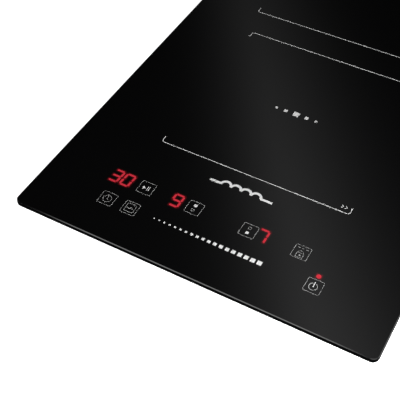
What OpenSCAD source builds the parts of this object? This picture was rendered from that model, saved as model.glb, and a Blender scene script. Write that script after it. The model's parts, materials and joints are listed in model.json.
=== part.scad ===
// Built-in induction cooktop with two cooking zones, one behind the other.
// +X is right, +Y is to the rear, +Z is up. The origin is under the middle of the glass,
// on the plane that the pan stands on.

/* [Glass] */
// Width of the glass, left to right
glass_w = 289; // [286:1:292]
// Depth of the glass, front to rear
glass_d = 520; // [518:1:524]
// Thickness of the glass
glass_t = 4; // [3.5:0.5:4]
// Corner radius of the glass
corner_r = 6; // [4:1:10]
// Width of the ground bevel along the upper edge
bevel = 0.5; // [0.5:0.1:1.5]
// Height of the top of the glass above the pan's base
total_h = 58; // [58:0.5:60]

/* [Housing] */
// Width of the sheet-metal pan
pan_w = 262; // [260:1:264]
// How far the pan's front wall stands back from the glass edge
pan_front_inset = 18; // [17:0.5:18]
// How far the pan's rear wall stands in from the glass edge
pan_rear_inset = 24; // [23:0.5:24]
// Thickness of the pan's sheet
sheet = 1; // [0.8:0.1:1.2]
// Rise and run of the sloped front of the pan
front_slope = 28; // [26:1:28]

/* [Cooking zones] */
// Diameter of the front winding
front_coil_d = 152; // [144:2:152]
// Distance of the front zone's centre from the front edge of the glass
front_zone_y = 187.7; // [187:0.1:188.5]
// Width and depth of the front zone's marking
front_zone = 160; // [150:1:164]
// Diameter of the rear winding
rear_coil_d = 172; // [160:2:172]
// Distance of the rear zone's centre from the front edge of the glass
rear_zone_y = 388; // [386:0.5:389]
// Width and depth of the rear zone's marking
rear_zone = 180; // [170:1:184]

/* [Controls] */
// Distance of the lower row of keys from the front edge
lower_row_y = 35.2; // [34:0.1:36]
// Distance of the upper row of keys from the front edge
upper_row_y = 58.2; // [57:0.1:59]
// Outer size of a key's frame
key_size = 12.2; // [11:0.1:13]
// Number of squares in the power slider
slider_steps = 19; // [15:1:21]
// Height of a lit digit
digit_h = 12.7; // [11:0.1:14]

/* [Mounting] */
// Diameter of the cable gland's bore
gland_bore = 10; // [9:0.5:10]
// Length of a fixing clip from its screw to its tip
clip_reach = 20; // [18:0.5:20]

/* [Hidden] */
$fn = 48;

// Heights of the layers
glass_z = total_h - glass_t;
rim_z = glass_z - 0.5;
tray_z = 36;
tray_t = 1.5;
carrier_z = 46.5;
carrier_t = 2;
winding_z = carrier_z + carrier_t + 0.1;
winding_t = 4.4;
mica_z = winding_z + winding_t + 0.1;
mica_t = 0.7;
board_z = 7;
board_t = 1.6;
board_top = board_z + board_t;

// Plan of the pan
pan_x = pan_w / 2;
pan_y0 = -glass_d / 2 + pan_front_inset;
pan_y1 = glass_d / 2 - pan_rear_inset;

// Print and light on the glass
print_t = 0.05;
zone_line = 0.57;
zone_hook = 6.5;
hook_r = 2.2;
key_line = 0.25;
icon_line = 0.27;
select_size = 2.4;
select_rise = 2.4;

// Worktop seal
seal_w = 7;
seal_t = 2.5;
seal_inset = 2;
seal_joint = 0.2;

// Rails glued under the glass
rail_leg = 8;
rail_drop = 12;
rail_t = 1.2;
rail_gap = 0.2;
bead_t = 0.3;
rail_top = glass_z - bead_t;
screw_z = rail_top - 6.5;
side_screw_y = [-190, 0, 186];
end_screw_x = [-80, 80];

// Fixing clips, in pockets of the long walls
clip_y = 150;
clip_pivot_x = pan_x - 10;
clip_z = 12;
clip_t = 2;
clip_w = 14;
clip_bolt_r = 2;
pocket_x = pan_x - 20;
pocket_y0 = 126;
pocket_y1 = 160;
pocket_h = 24;

// Posts that carry the coil tray
post_x = 120;
post_y = [-110, 20, 180];

// Coils
front_coil_y = front_zone_y - glass_d / 2;
rear_coil_y = rear_zone_y - glass_d / 2;
coil_inner_r = 22;
lead_r = 1.8;
guide_r = 2.5;
guide_reach = 8;
spring_angles = [22.5, 157.5, 292.5];
spring_circle_r = 56;
spring_r = 4.5;
front_lead_angles = [139, 146];
rear_lead_angles = [204, 212];

// Control unit
holder_w = 224;
holder_y0 = -232;
holder_y1 = -184;
holder_z = 44;
control_z = 47;
led_x = 83.7;
led_y = 44.6;
key_spring_r = 4.2;

// Blower
fan_x = 56;
fan_y = 176;
scroll_r0 = 38;
scroll_growth = 9;
scroll_wall = 1.6;
rotor_r = 35;
shaft_r = 1.5;
blower_z = 2.6;
blower_top = 28;

// Air duct
duct_x0 = 34;
duct_x1 = 103;
duct_y0 = -95;
duct_y1 = 126;
duct_top = 34.2;

// Terminal box, cover and gland
box_x0 = -122;
box_x1 = -30;
box_y0 = 190;
box_h = 32;
box_wall = 2;
cover_x0 = -122;
cover_x1 = -60;
cover_hinge_y = pan_y1 + 2.6;
cover_hinge_z = 4.5;
hinge_pin_r = 1;
knuckle_r = 2.1;
gland_x = -46;
gland_z = 18;

// Window in the rear panel, behind the terminal cover
window_x0 = box_x0 + 4;
window_x1 = box_x0 + 58;
window_z0 = 6;
window_z1 = box_h - 2;

// Distance measured from the front edge of the glass, as a place in the frame
function from_front(d) = d - glass_d / 2;

// ---------- shared shapes ----------

module rounded_square(w, d, r) {
    square([w - 2 * r, d], center = true);
    square([w, d - 2 * r], center = true);
    for (sx = [-1, 1], sy = [-1, 1])
        translate([sx * (w / 2 - r), sy * (d / 2 - r)]) circle(r);
}

module square_ring(size, line, r) {
    difference() {
        rounded_square(size, size, r);
        rounded_square(size - 2 * line, size - 2 * line, max(r - line, 0.2));
    }
}

module ring(r_out, r_in, h) {
    difference() {
        cylinder(h = h, r = r_out);
        translate([0, 0, -1]) cylinder(h = h + 2, r = r_in);
    }
}

// A box given by its centre in plan, its underside and its size
module block(x, y, z, w, d, h) {
    translate([x - w / 2, y - d / 2, z]) cube([w, d, h]);
}

// A box given by two corners
module span(a, b) {
    translate(a) cube(b - a);
}

// Ink or light lying on the glass
module on_glass() {
    translate([0, 0, total_h]) linear_extrude(print_t) children();
}

// A slot with round ends, along Y, cut along Z
module slot(l, w, h) {
    translate([-w / 2, -(l - w) / 2, 0]) cube([w, l - w, h]);
    for (s = [-1, 1]) translate([0, s * (l - w) / 2, 0]) cylinder(h = h, r = w / 2, $fn = 24);
}

// A round tube swept along a route that is smoothed between its points
function catmull(a, b, c, d, t) =
    0.5 * (2 * b + (c - a) * t + (2 * a - 5 * b + 4 * c - d) * t * t + (3 * b - a - 3 * c + d) * t * t * t);
function smooth(p, n) = [
    for (i = [0 : len(p) - 2], k = [0 : n - 1])
        catmull(p[max(i - 1, 0)], p[i], p[i + 1], p[min(i + 2, len(p) - 1)], k / n),
    p[len(p) - 1]
];
function unit(v) = v / norm(v);
function heading(p, i) = unit(p[min(i + 1, len(p) - 1)] - p[max(i - 1, 0)]);
module wire(route, r, sides = 8, n = 4) {
    p = smooth(route, n);
    lean = [0.31, 0.17, 0.05];
    points = [
        for (i = [0 : len(p) - 1], k = [0 : sides - 1])
            let (t = heading(p, i), u = unit(cross(t, lean)), v = cross(t, u), a = 360 * k / sides)
            p[i] + r * (cos(a) * u + sin(a) * v)
    ];
    sides_of = [
        for (i = [0 : len(p) - 2], k = [0 : sides - 1])
            [i * sides + k, (i + 1) * sides + k,
                (i + 1) * sides + (k + 1) % sides, i * sides + (k + 1) % sides]
    ];
    ends = [
        [for (k = [0 : sides - 1]) k],
        [for (k = [sides - 1 : -1 : 0]) (len(p) - 1) * sides + k]
    ];
    polyhedron(points, concat(sides_of, ends));
}

// ---------- glass and what is printed on it ----------

module glass_plate() color("#0b0b0c") translate([0, 0, glass_z]) {
    linear_extrude(glass_t - bevel) rounded_square(glass_w, glass_d, corner_r);
    translate([0, 0, glass_t - bevel]) {
        long_d = glass_d - 2 * corner_r;
        long_w = glass_w - 2 * corner_r;
        rotate([90, 0, 0]) translate([0, 0, -long_d / 2]) linear_extrude(long_d)
            polygon([[-glass_w / 2, 0], [glass_w / 2, 0],
                [glass_w / 2 - bevel, bevel], [bevel - glass_w / 2, bevel]]);
        rotate([90, 0, 90]) translate([0, 0, -long_w / 2]) linear_extrude(long_w)
            polygon([[-glass_d / 2, 0], [glass_d / 2, 0],
                [glass_d / 2 - bevel, bevel], [bevel - glass_d / 2, bevel]]);
        for (sx = [-1, 1], sy = [-1, 1]) translate([sx * long_w / 2, sy * long_d / 2, 0])
            cylinder(h = bevel, r1 = corner_r, r2 = corner_r - bevel);
    }
}

// A long line with both ends turned through a right angle
module zone_line_shape(width) {
    half = width / 2;
    translate([hook_r - half, -zone_line / 2]) square([width - 2 * hook_r, zone_line]);
    for (s = [-1, 1]) {
        translate([s * (half - hook_r), hook_r]) intersection() {
            difference() {
                circle(hook_r + zone_line / 2);
                circle(hook_r - zone_line / 2);
            }
            translate([s > 0 ? 0 : -2 * hook_r, -2 * hook_r]) square(2 * hook_r);
        }
        translate([s * half - zone_line / 2, hook_r]) square([zone_line, zone_hook - hook_r]);
    }
}

module zone_marks(y, size) {
    translate([0, y - size / 2]) zone_line_shape(size);
    translate([0, y + size / 2]) mirror([0, 1]) zone_line_shape(size);
    for (mark = [[0, 5], [9.3, 3], [17.6, 2]], s = [-1, 1])
        translate([s * mark[0], y]) square(mark[1], center = true);
}

module boost_chevrons() {
    for (i = [0, 1]) translate([71.5 + 3 * i, from_front(113)])
        polygon([[0, 1.5], [0.7, 1.5], [2.2, 0], [0.7, -1.5], [0, -1.5], [1.5, 0]]);
}

module at_key(x, y) translate([x, from_front(y)]) children();

module key(x, y) at_key(x, y) {
    square_ring(key_size, key_line, 1.2);
    children();
}

module clock_icon() translate([-0.1, -0.2]) {
    difference() {
        circle(3.5);
        circle(3.5 - icon_line);
    }
    translate([-0.3, -0.2]) square([icon_line, 2]);
    rotate(-30) translate([0, -0.3]) square([1.6, icon_line]);
}

module keep_warm_icon() {
    square_ring(7.8, icon_line, 1);
    translate([-2.6, -0.8]) square([3, 0.6]);
    translate([0.4, -0.4]) square([2.4, icon_line]);
    translate([0.6, 0.6]) circle(0.4, $fn = 24);
}

module play_pause_icon() {
    polygon([[-2.9, 1.5], [-2.9, -1.9], [-0.5, -0.2]]);
    for (x = [0.7, 2]) translate([x, -2.2]) square([0.55, 4.4]);
}

// Two squares, one above the other: the filled one, in white, is the zone that the key selects
module zone_square(s, inset = 0) translate([-0.15, select_rise * s])
    square(select_size - 2 * inset, center = true);

module other_zone_square(s) difference() {
    zone_square(s);
    zone_square(s, icon_line);
}

module lock_icon() {
    translate([0, -2.8]) difference() {
        rounded_square(5.6, 4.4, 0.8);
        rounded_square(5.6 - 2 * icon_line, 4.4 - 2 * icon_line, 0.8 - icon_line);
    }
    translate([0, -2.8]) circle(0.7, $fn = 24);
    difference() {
        translate([0, -0.8]) circle(2.2);
        translate([0, -0.8]) circle(2.2 - icon_line);
        translate([-3, -4.6]) square([6, 4]);
    }
    for (x = [-3, 0, 3]) translate([x, 3.7]) square([1.5, 0.45], center = true);
}

module power_ring() translate([-0.25, -0.5]) difference() {
    circle(3.25);
    circle(2.8);
    translate([-1.1, 0]) square([2.2, 4]);
}

module power_bar() translate([-0.5, -0.8]) square([0.6, 4.8]);

// A row of squares that grow from left to right
module slider_marks() {
    first = 1;
    growth = 0.15;
    pitch = 4.32;
    pitch_growth = 0.054;
    for (i = [0 : slider_steps - 1])
        translate([-43.5 + pitch * i + pitch_growth * i * (i - 1) / 2, from_front(lower_row_y)])
            square(first + growth * i, center = true);
}

// A plain inductor sign: a lead, four humps and a lead
module coil_sign() {
    hump_r = 4.2;
    line = 2.2;
    humps = 4;
    half = hump_r * humps;
    lead = 9.5;
    translate([-0.5, from_front(89.5)]) {
        for (i = [0 : humps - 1]) translate([hump_r * (2 * i + 1) - half, 0]) difference() {
            circle(hump_r + line / 2);
            circle(hump_r - line / 2);
            translate([-hump_r - line, -hump_r - line]) square([2 * (hump_r + line), hump_r + line]);
        }
        for (s = [-1, 1]) translate([s * (half + lead / 2), 0.5]) square([lead, line], center = true);
    }
}

// Everything printed in white: the zones, the slider, the sign and the filled parts of the icons
module zone_print() color("#d8d8d8") on_glass() {
    zone_marks(front_coil_y, front_zone);
    zone_marks(rear_coil_y, rear_zone);
    boost_chevrons();
    slider_marks();
    coil_sign();
    at_key(-64.2, upper_row_y) play_pause_icon();
    at_key(-22.7, upper_row_y) zone_square(1);
    at_key(22.4, upper_row_y) zone_square(-1);
    at_key(84, lower_row_y) power_bar();
}

// The keys' frames and the outlined parts of their icons, printed in grey
module control_print() color("#a8a8a8") on_glass() {
    key(-84.2, lower_row_y) clock_icon();
    key(-64.2, lower_row_y) keep_warm_icon();
    key(-64.2, upper_row_y);
    key(-22.7, upper_row_y) other_zone_square(-1);
    key(22.4, upper_row_y) other_zone_square(1);
    key(64, upper_row_y) lock_icon();
    key(84, lower_row_y) power_ring();
}

// One bar of a seven-segment digit, pointed at both ends and leaning with the digit
module digit_bar(a, b, lean) {
    bar = 1.6;
    gap = 0.15;
    along = unit(b - a);
    across = [-along[1], along[0]] * bar / 2;
    p = a + along * gap;
    q = b - along * gap;
    outline = [
        p, p + along * bar / 2 + across, q - along * bar / 2 + across,
        q, q - along * bar / 2 - across, p + along * bar / 2 - across
    ];
    polygon([for (v = outline) [v[0] + v[1] * tan(lean), v[1]]]);
}

module digit(x, lit, lean) {
    w = 6.9;
    h = digit_h - 1.3;
    bars = [
        ["a", [0, h], [w, h]], ["b", [w, h], [w, h / 2]], ["c", [w, h / 2], [w, 0]], ["d", [0, 0], [w, 0]],
        ["e", [0, h / 2], [0, 0]], ["f", [0, h], [0, h / 2]], ["g", [0, h / 2], [w, h / 2]]
    ];
    translate([x, from_front(52.7)])
        for (bar = bars) if (len(search(bar[0], lit)) > 0) digit_bar(bar[1], bar[2], lean);
}

module lit_displays() color("#ff2838") on_glass() {
    digit(-94.7, "abcdg", 4.5);
    digit(-84.8, "abcdef", 4.5);
    digit(-41.4, "abcdfg", 1.5);
    digit(29.7, "abc", 0);
    translate([led_x, from_front(led_y)]) circle(1.8);
}

// ---------- seal, glue and rails ----------

module worktop_seal() color("#2b2b2d") translate([0, 0, glass_z - seal_t]) {
    x1 = glass_w / 2 - seal_inset;
    y1 = glass_d / 2 - seal_inset;
    for (s = [-1, 1]) {
        translate([-x1, s > 0 ? y1 - seal_w : -y1, 0]) cube([2 * x1, seal_w, seal_t]);
        side = 2 * (y1 - seal_w - seal_joint);
        translate([s > 0 ? x1 - seal_w : -x1, -side / 2, 0]) cube([seal_w, side, seal_t]);
    }
}

module side_pair() for (s = [0, 1]) mirror([s, 0, 0]) children();

rail_x = pan_x - sheet - rail_gap;
rail_y0 = pan_y0 + sheet + rail_gap;
rail_y1 = pan_y1 - sheet - rail_gap;
side_rail_y0 = pan_y0 + 16;
side_rail_y1 = pan_y1 - 16;

module glass_adhesive() color("#1c1c1e") {
    inset = 0.5;
    side_pair() span([rail_x - rail_leg + inset, side_rail_y0 + 2, rail_top],
                     [rail_x - inset, side_rail_y1 - 2, glass_z]);
    half = rail_x - 6;
    span([-half, rail_y0 + inset, rail_top], [half, rail_y0 + rail_leg - inset, glass_z]);
    span([-half, rail_y1 - rail_leg + inset, rail_top], [half, rail_y1 - inset, glass_z]);
}

// An angle section, its flange under the glass and its leg inside the pan's wall
module side_rails() color("#9ea2a6") side_pair() difference() {
    union() {
        span([rail_x - rail_leg, side_rail_y0, rail_top - rail_t], [rail_x, side_rail_y1, rail_top]);
        span([rail_x - rail_t, side_rail_y0, rail_top - rail_drop], [rail_x, side_rail_y1, rail_top]);
    }
    for (y = side_screw_y) translate([rail_x - 3, y, screw_z]) rotate([0, 90, 0]) cylinder(h = 6, r = 1.6);
}

module end_rail(y_wall, dir) difference() {
    half = rail_x - 4;
    a = y_wall + dir * rail_leg;
    b = y_wall + dir * rail_t;
    union() {
        span([-half, min(y_wall, a), rail_top - rail_t], [half, max(y_wall, a), rail_top]);
        span([-half, min(y_wall, b), rail_top - rail_drop], [half, max(y_wall, b), rail_top]);
    }
    for (x = end_screw_x) translate([x, y_wall + 3, screw_z]) rotate([90, 0, 0]) cylinder(h = 6, r = 1.6);
}

module end_rails() color("#9ea2a6") {
    end_rail(rail_y0, 1);
    end_rail(rail_y1, -1);
}

// ---------- pan ----------

// The pan is folded and spot-welded from flat panels, with a hairline seam between neighbours
seam = 0.05;
fold = sheet * (sqrt(2) - 1);
panel_x = pan_x - sheet - seam;
pan_inner_y1 = pan_y1 - sheet - seam;
shield_x = 118;
shield_y = [-60, 95];
earth_x = -12;
earth_y = 212;

// A panel of the full inner width, drawn as its section from the side
module cross_panel(section) translate([-panel_x, 0, 0]) rotate([90, 0, 90])
    linear_extrude(2 * panel_x) polygon(section);

module base_panel() difference() {
    y0 = pan_y0 + front_slope + seam;
    cross_panel([[y0, 0], [y0 + fold, sheet], [pan_inner_y1, sheet], [pan_inner_y1, 0]]);
    for (sx = [0, 1], sy = [0, 1]) mirror([sx, 0, 0]) mirror([0, sy, 0])
        span([pocket_x, pocket_y0, -1], [pan_x, pocket_y1, sheet + 1]);
    for (i = [0 : 7]) translate([14 * (i - 3.5) - 20, -160, -1]) slot(30, 4, 4);
    for (x = [-1, 1] * shield_x, y = shield_y) translate([x, y, -1]) cylinder(h = 4, r = 2.1);
    translate([earth_x, earth_y, -1]) cylinder(h = 4, r = 2.05);
    translate([fan_x, fan_y, -1]) cylinder(h = 4, r = 39);
}

module slope_panel() difference() {
    cross_panel([
        [pan_y0, front_slope], [pan_y0 + front_slope, 0],
        [pan_y0 + front_slope + fold, sheet], [pan_y0 + sheet, front_slope + fold]
    ]);
    for (i = [0 : 12]) translate([16 * (i - 6), pan_y0 + front_slope / 2, front_slope / 2])
        rotate([-45, 0, 0]) translate([0, 0, -6]) slot(26, 5, 12);
}

module end_screw_holes(y) for (x = end_screw_x)
    translate([x, y + 3, screw_z]) rotate([90, 0, 0]) cylinder(h = 6, r = 1.6);

module front_panel() difference() {
    z0 = front_slope + seam;
    cross_panel([[pan_y0, z0], [pan_y0 + sheet, z0 + fold], [pan_y0 + sheet, rim_z], [pan_y0, rim_z]]);
    end_screw_holes(pan_y0);
}

module rear_strip(x0, x1, z0, z1) span([x0, pan_y1 - sheet, z0], [x1, pan_y1, z1]);

// The rear panel frames the terminal window with a strip below it and a strip above it
module rear_panel() color("#b9bdc0") difference() {
    union() {
        rear_strip(-panel_x, window_x0 - seam, 0, rim_z);
        rear_strip(window_x0, window_x1, 0, window_z0);
        rear_strip(window_x0, window_x1, window_z1, rim_z);
        rear_strip(window_x1 + seam, panel_x, 0, rim_z);
    }
    for (i = [0 : 6]) translate([20 + 14 * i, pan_y1 - 4, 19]) rotate([-90, 0, 0]) slot(20, 5, 8);
    end_screw_holes(pan_y1);
    translate([gland_x, pan_y1 + 2, gland_z]) rotate([90, 0, 0]) cylinder(h = 5, r = 8.1);
}

module side_panel() difference() {
    translate([pan_x - sheet, 0, 0]) rotate([90, 0, 90]) linear_extrude(sheet) polygon([
        [pan_y0, rim_z], [pan_y0, front_slope], [pan_y0 + front_slope, 0], [pan_y1, 0], [pan_y1, rim_z]
    ]);
    for (sy = [0, 1]) mirror([0, sy, 0])
        span([pan_x - 3, pocket_y0, -1], [pan_x + 1, pocket_y1, pocket_h]);
    for (i = [0 : 6]) translate([pan_x - 4, 12 * (i - 3), 22]) rotate([0, 90, 0]) rotate(90) slot(20, 4, 8);
    for (y = side_screw_y) translate([pan_x - 3, y, screw_z]) rotate([0, 90, 0]) cylinder(h = 6, r = 1.6);
}

// The recess that a clip stows in: three walls and a roof, open outwards and downwards
module pocket_panel() difference() {
    span([pocket_x - sheet, pocket_y0 - sheet, sheet + seam], [panel_x, pocket_y1 + sheet, pocket_h + sheet]);
    span([pocket_x, pocket_y0, 0], [pan_x, pocket_y1, pocket_h]);
    translate([clip_pivot_x, clip_y, pocket_h - 1]) cylinder(h = 4, r = clip_bolt_r + 0.05);
}

module bottom_pan() color("#b9bdc0") {
    base_panel();
    slope_panel();
    front_panel();
    side_pair() {
        side_panel();
        for (sy = [0, 1]) mirror([0, sy, 0]) pocket_panel();
    }
}

module pan_screw() {
    translate([0, 0, -6]) cylinder(h = 6, r = 1.5, $fn = 24);
    difference() {
        cylinder(h = 1.8, r = 3);
        translate([-2, -0.4, 0.8]) cube([4, 0.8, 2]);
        translate([-0.4, -2, 0.8]) cube([0.8, 4, 2]);
    }
}

module pan_screws() color("#c9ccd0") {
    for (y = side_screw_y, s = [-1, 1]) translate([s * pan_x, y, screw_z]) rotate([0, s * 90, 0]) pan_screw();
    for (x = end_screw_x) {
        translate([x, pan_y0, screw_z]) rotate([90, 0, 0]) pan_screw();
        translate([x, pan_y1, screw_z]) rotate([-90, 0, 0]) pan_screw();
    }
}

// ---------- coil tray and coils ----------

front_lead_foot = [-66, -14];
rear_lead_foot = [-78, 60];

module coil_tray() color("#cfd3d6") difference() {
    half = pan_x - 4;
    span([-half, pan_y0 + 4, tray_z], [half, pan_y1 - 4, tray_z + tray_t]);
    for (x = [-1, 1] * post_x, y = post_y) translate([x, y, tray_z - 1]) cylinder(h = 4, r = 1.6);
    for (y = [front_coil_y, rear_coil_y]) translate([0, y, tray_z - 1]) cylinder(h = 4, r = 5);
    for (foot = [front_lead_foot, rear_lead_foot]) translate([foot[0], foot[1], tray_z - 1]) slot(24, 14, 4);
    translate([-30, -192.5, tray_z - 1]) rotate(90) slot(24, 9, 4);
}

module tray_posts() color("#b5b8bb") for (x = [-1, 1] * post_x, y = post_y) translate([x, y, 0]) {
    difference() {
        translate([0, 0, sheet]) cylinder(h = tray_z - sheet, r = 3.4, $fn = 6);
        translate([0, 0, 20]) cylinder(h = tray_z, r = 1.5);
    }
    translate([0, 0, tray_z + tray_t]) cylinder(h = 1.8, r = 2.8);
    translate([0, 0, tray_z - 6]) cylinder(h = 8, r = 1.45);
}

module coil_guides(y, coil_r) for (a = [45, 225]) rotate_about(y, a, coil_r + guide_reach) {
    translate([0, 0, tray_z + tray_t]) cylinder(h = 14, r = guide_r);
    translate([0, 0, tray_z + tray_t]) cylinder(h = 1.5, r = 4.5);
}

// A place on a circle about a coil's axis
module rotate_about(y, a, r) translate([0, y, 0]) rotate(a) translate([r, 0, 0]) children();

module coil_guide_pins() color("#c9ccd0") {
    coil_guides(front_coil_y, front_coil_d / 2);
    coil_guides(rear_coil_y, rear_coil_d / 2);
}

module coil_carrier(y, coil_r, lead_angles) color("#e9e4d4") difference() {
    union() {
        translate([0, y, carrier_z]) cylinder(h = carrier_t, r = coil_r + 2, $fn = 96);
        for (a = [45, 225]) {
            rotate_about(y, a, coil_r + guide_reach) translate([0, 0, carrier_z])
                cylinder(h = carrier_t, r = 6);
            rotate_about(y, a, coil_r) translate([0, -6, carrier_z]) cube([guide_reach, 12, carrier_t]);
        }
    }
    translate([0, y, carrier_z - 1]) cylinder(h = 5, r = 11.1);
    for (a = [45, 225]) rotate_about(y, a, coil_r + guide_reach)
        translate([0, 0, carrier_z - 1]) cylinder(h = 5, r = guide_r + 0.08);
    for (a = lead_angles) rotate_about(y, a, coil_r - 0.5) translate([0, -3, carrier_z - 1])
        cube([6, 6, carrier_t + 2]);
}

module winding(y, coil_r) color("#b87333") translate([0, y, winding_z])
    ring(coil_r, coil_inner_r, winding_t, $fn = 96);

module ferrites(y, coil_r) color("#3a3a3d") for (a = [0 : 45 : 315])
    rotate_about(y, a, 26) translate([0, -5, carrier_z - 4.6]) cube([coil_r - 32, 10, 4.5]);

module mica(y, coil_r) color("#d8cfae") translate([0, y, mica_z]) ring(coil_r + 1, 12, mica_t, $fn = 96);

module sensor(y) translate([0, y, 0]) {
    color("#f2f2ee") difference() {
        union() {
            translate([0, 0, carrier_z - 2]) cylinder(h = glass_z - carrier_z + 1.8, r = 11);
            translate([0, 0, carrier_z + carrier_t]) cylinder(h = 1.5, r = 13);
        }
        translate([0, 0, carrier_z - 3]) cylinder(h = 20, r = 2.6);
    }
    color("#303030") {
        translate([0, 0, carrier_z + 2]) cylinder(h = glass_z - carrier_z - 2.2, r = 2.4);
        for (s = [-1, 1]) translate([s * 1.2, 0, tray_z + 4]) cylinder(h = 9, r = 0.7, $fn = 24);
    }
}

module coil_springs(y) color("#d0d3d6") for (a = spring_angles) rotate_about(y, a, spring_circle_r)
    translate([0, 0, tray_z + tray_t]) ring(spring_r, spring_r - 1.2, carrier_z - tray_z - tray_t);

// Two leads from the board's tabs, through the tray and the carrier's notches, to the winding's outer turn
module coil_leads(y, coil_r, foot, angles) color("#c08a4a") for (i = [0, 1]) {
    a = angles[i];
    x0 = foot[0] + (i == 0 ? 3 : -3);
    y0 = foot[1] + (i == 0 ? 4 : -4);
    out = coil_r + 5;
    over = coil_r + lead_r + 0.4;
    wire([
        [x0, y0, 18], [x0, y0, 28], [x0, y0, 38],
        [out * cos(a), y + out * sin(a), 46.5],
        [over * cos(a), y + over * sin(a), winding_z + 2.1]
    ], lead_r, n = 5);
}

module front_coil_carrier() coil_carrier(front_coil_y, front_coil_d / 2, front_lead_angles);
module front_winding() winding(front_coil_y, front_coil_d / 2);
module front_ferrites() ferrites(front_coil_y, front_coil_d / 2);
module front_mica() mica(front_coil_y, front_coil_d / 2);
module front_sensor() sensor(front_coil_y);
module front_coil_springs() coil_springs(front_coil_y);
module front_coil_leads() coil_leads(front_coil_y, front_coil_d / 2, front_lead_foot, front_lead_angles);
module rear_coil_carrier() coil_carrier(rear_coil_y, rear_coil_d / 2, rear_lead_angles);
module rear_winding() winding(rear_coil_y, rear_coil_d / 2);
module rear_ferrites() ferrites(rear_coil_y, rear_coil_d / 2);
module rear_mica() mica(rear_coil_y, rear_coil_d / 2);
module rear_sensor() sensor(rear_coil_y);
module rear_coil_springs() coil_springs(rear_coil_y);
module rear_coil_leads() coil_leads(rear_coil_y, rear_coil_d / 2, rear_lead_foot, rear_lead_angles);

// ---------- control unit ----------

module control_holder() color("#dcdcd6") difference() {
    half = holder_w / 2;
    union() {
        difference() {
            span([-half, holder_y0, holder_z], [half, holder_y1, glass_z - 0.4]);
            span([1.5 - half, holder_y0 + 1.5, holder_z + 1.2], [half - 1.5, holder_y1 - 1.5, glass_z + 1]);
        }
        for (x = [-100, -40, 40, 100], y = [holder_y0 + 5, holder_y1 - 5])
            translate([x, y, holder_z]) cylinder(h = control_z - holder_z, r = 2.5);
    }
    span([-42, holder_y1 - 14, holder_z - 1], [-18, holder_y1 - 4, holder_z + 2]);
}

module control_board() color("#1f5a34") {
    half = holder_w / 2 - 2;
    difference() {
        span([-half, holder_y0 + 2, control_z], [half, holder_y1 - 2, control_z + board_t]);
        for (x = [-100, -40, 40, 100], y = [holder_y0 + 5, holder_y1 - 5])
            translate([x, y, control_z - 1]) cylinder(h = 4, r = 1.2, $fn = 24);
    }
    block(10, holder_y1 - 12, control_z + board_t, 10, 10, 1.6);
    block(-4, holder_y1 - 12, control_z + board_t, 5, 7, 1.4);
    block(-30, holder_y1 - 5.5, control_z + board_t, 20, 5, 3);
}

module digit_displays() color("#151517") {
    z = control_z + board_t;
    h = glass_z - 0.6 - z;
    block(-85.4, from_front(58.4), z, 20.5, 16, h);
    block(-37.6, from_front(58.4), z, 11, 16, h);
    block(34, from_front(58.4), z, 10.5, 16, h);
    translate([led_x, from_front(led_y), z]) cylinder(h = h, r = 1.5);
}

// Springs that carry each key's touch up to the glass, the slider's electrode, and the holder's own springs
module control_springs() color("#d8b45a") {
    z = control_z + board_t;
    h = glass_z - 0.1 - z;
    for (k = [[-84.2, lower_row_y], [-64.2, lower_row_y], [-64.2, upper_row_y], [-22.7, upper_row_y],
              [22.4, upper_row_y], [64, upper_row_y], [84, lower_row_y]])
        translate([k[0], from_front(k[1]), z]) ring(key_spring_r, key_spring_r - 0.8, h);
    for (i = [0 : 8]) translate([10.5 * (i - 4), from_front(lower_row_y), z]) ring(3.4, 2.6, h);
    for (x = [-90, 90], y = [holder_y0 + 10, holder_y1 - 10])
        translate([x, y, tray_z + tray_t]) ring(spring_r, spring_r - 1, holder_z - tray_z - tray_t);
}

module ribbon_cable() color("#b9bcc2") translate([-38, 0, 0]) rotate([90, 0, 90]) linear_extrude(16)
    polygon([[-193, control_z], [-192, control_z], [-192, 23], [-107, 23], [-107, 17.6], [-108, 17.6],
             [-108, 22], [-193, 22]]);

// ---------- power board ----------

board_screws = [[-96, -112], [-96, 0], [-96, 110], [28, -112], [28, 110], [99, -112], [99, 112]];
filter_screws = [[-94, 128], [-94, 166], [6, 128], [6, 176]];

module circuit_board(a, b, screws) difference() {
    span([a[0], a[1], board_z], [b[0], b[1], board_top]);
    for (s = screws) translate([s[0], s[1], board_z - 1]) cylinder(h = 4, r = 1.6);
}

module power_board() color("#27623a") circuit_board([-102, -118], [104, 116], board_screws);
module filter_board() color("#27623a") circuit_board([-100, 122], [12, 182], filter_screws);

// Spacers under both boards and the screws that hold the boards to them
module board_fasteners() color("#c9ccd0") for (s = concat(board_screws, filter_screws))
translate([s[0], s[1], 0]) {
    difference() {
        translate([0, 0, sheet]) cylinder(h = board_z - sheet, r = 3.2, $fn = 6);
        translate([0, 0, sheet + 1]) cylinder(h = board_z, r = 1.5);
    }
    translate([0, 0, board_z - 3]) cylinder(h = 5, r = 1.45);
    translate([0, 0, board_top]) cylinder(h = 1.8, r = 2.8);
}

sink_x0 = 38;
sink_x1 = 99;
sink_y0 = -90;
sink_y1 = 40;
sink_z = board_top + 5;

module heatsink() color("#c5c8cb") {
    span([sink_x0, sink_y0, sink_z], [sink_x1, sink_y1, sink_z + 4]);
    fins = 11;
    fin_t = 1.6;
    pitch = (sink_x1 - sink_x0 - fin_t) / (fins - 1);
    for (i = [0 : fins - 1])
        span([sink_x0 + pitch * i, sink_y0, sink_z + 3], [sink_x0 + pitch * i + fin_t, sink_y1, 32.6]);
    for (x = [sink_x0 + 3, sink_x1 - 3], y = [sink_y0 + 4, sink_y1 - 4])
        translate([x, y, board_top]) cylinder(h = 6, r = 2.5);
}

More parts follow.
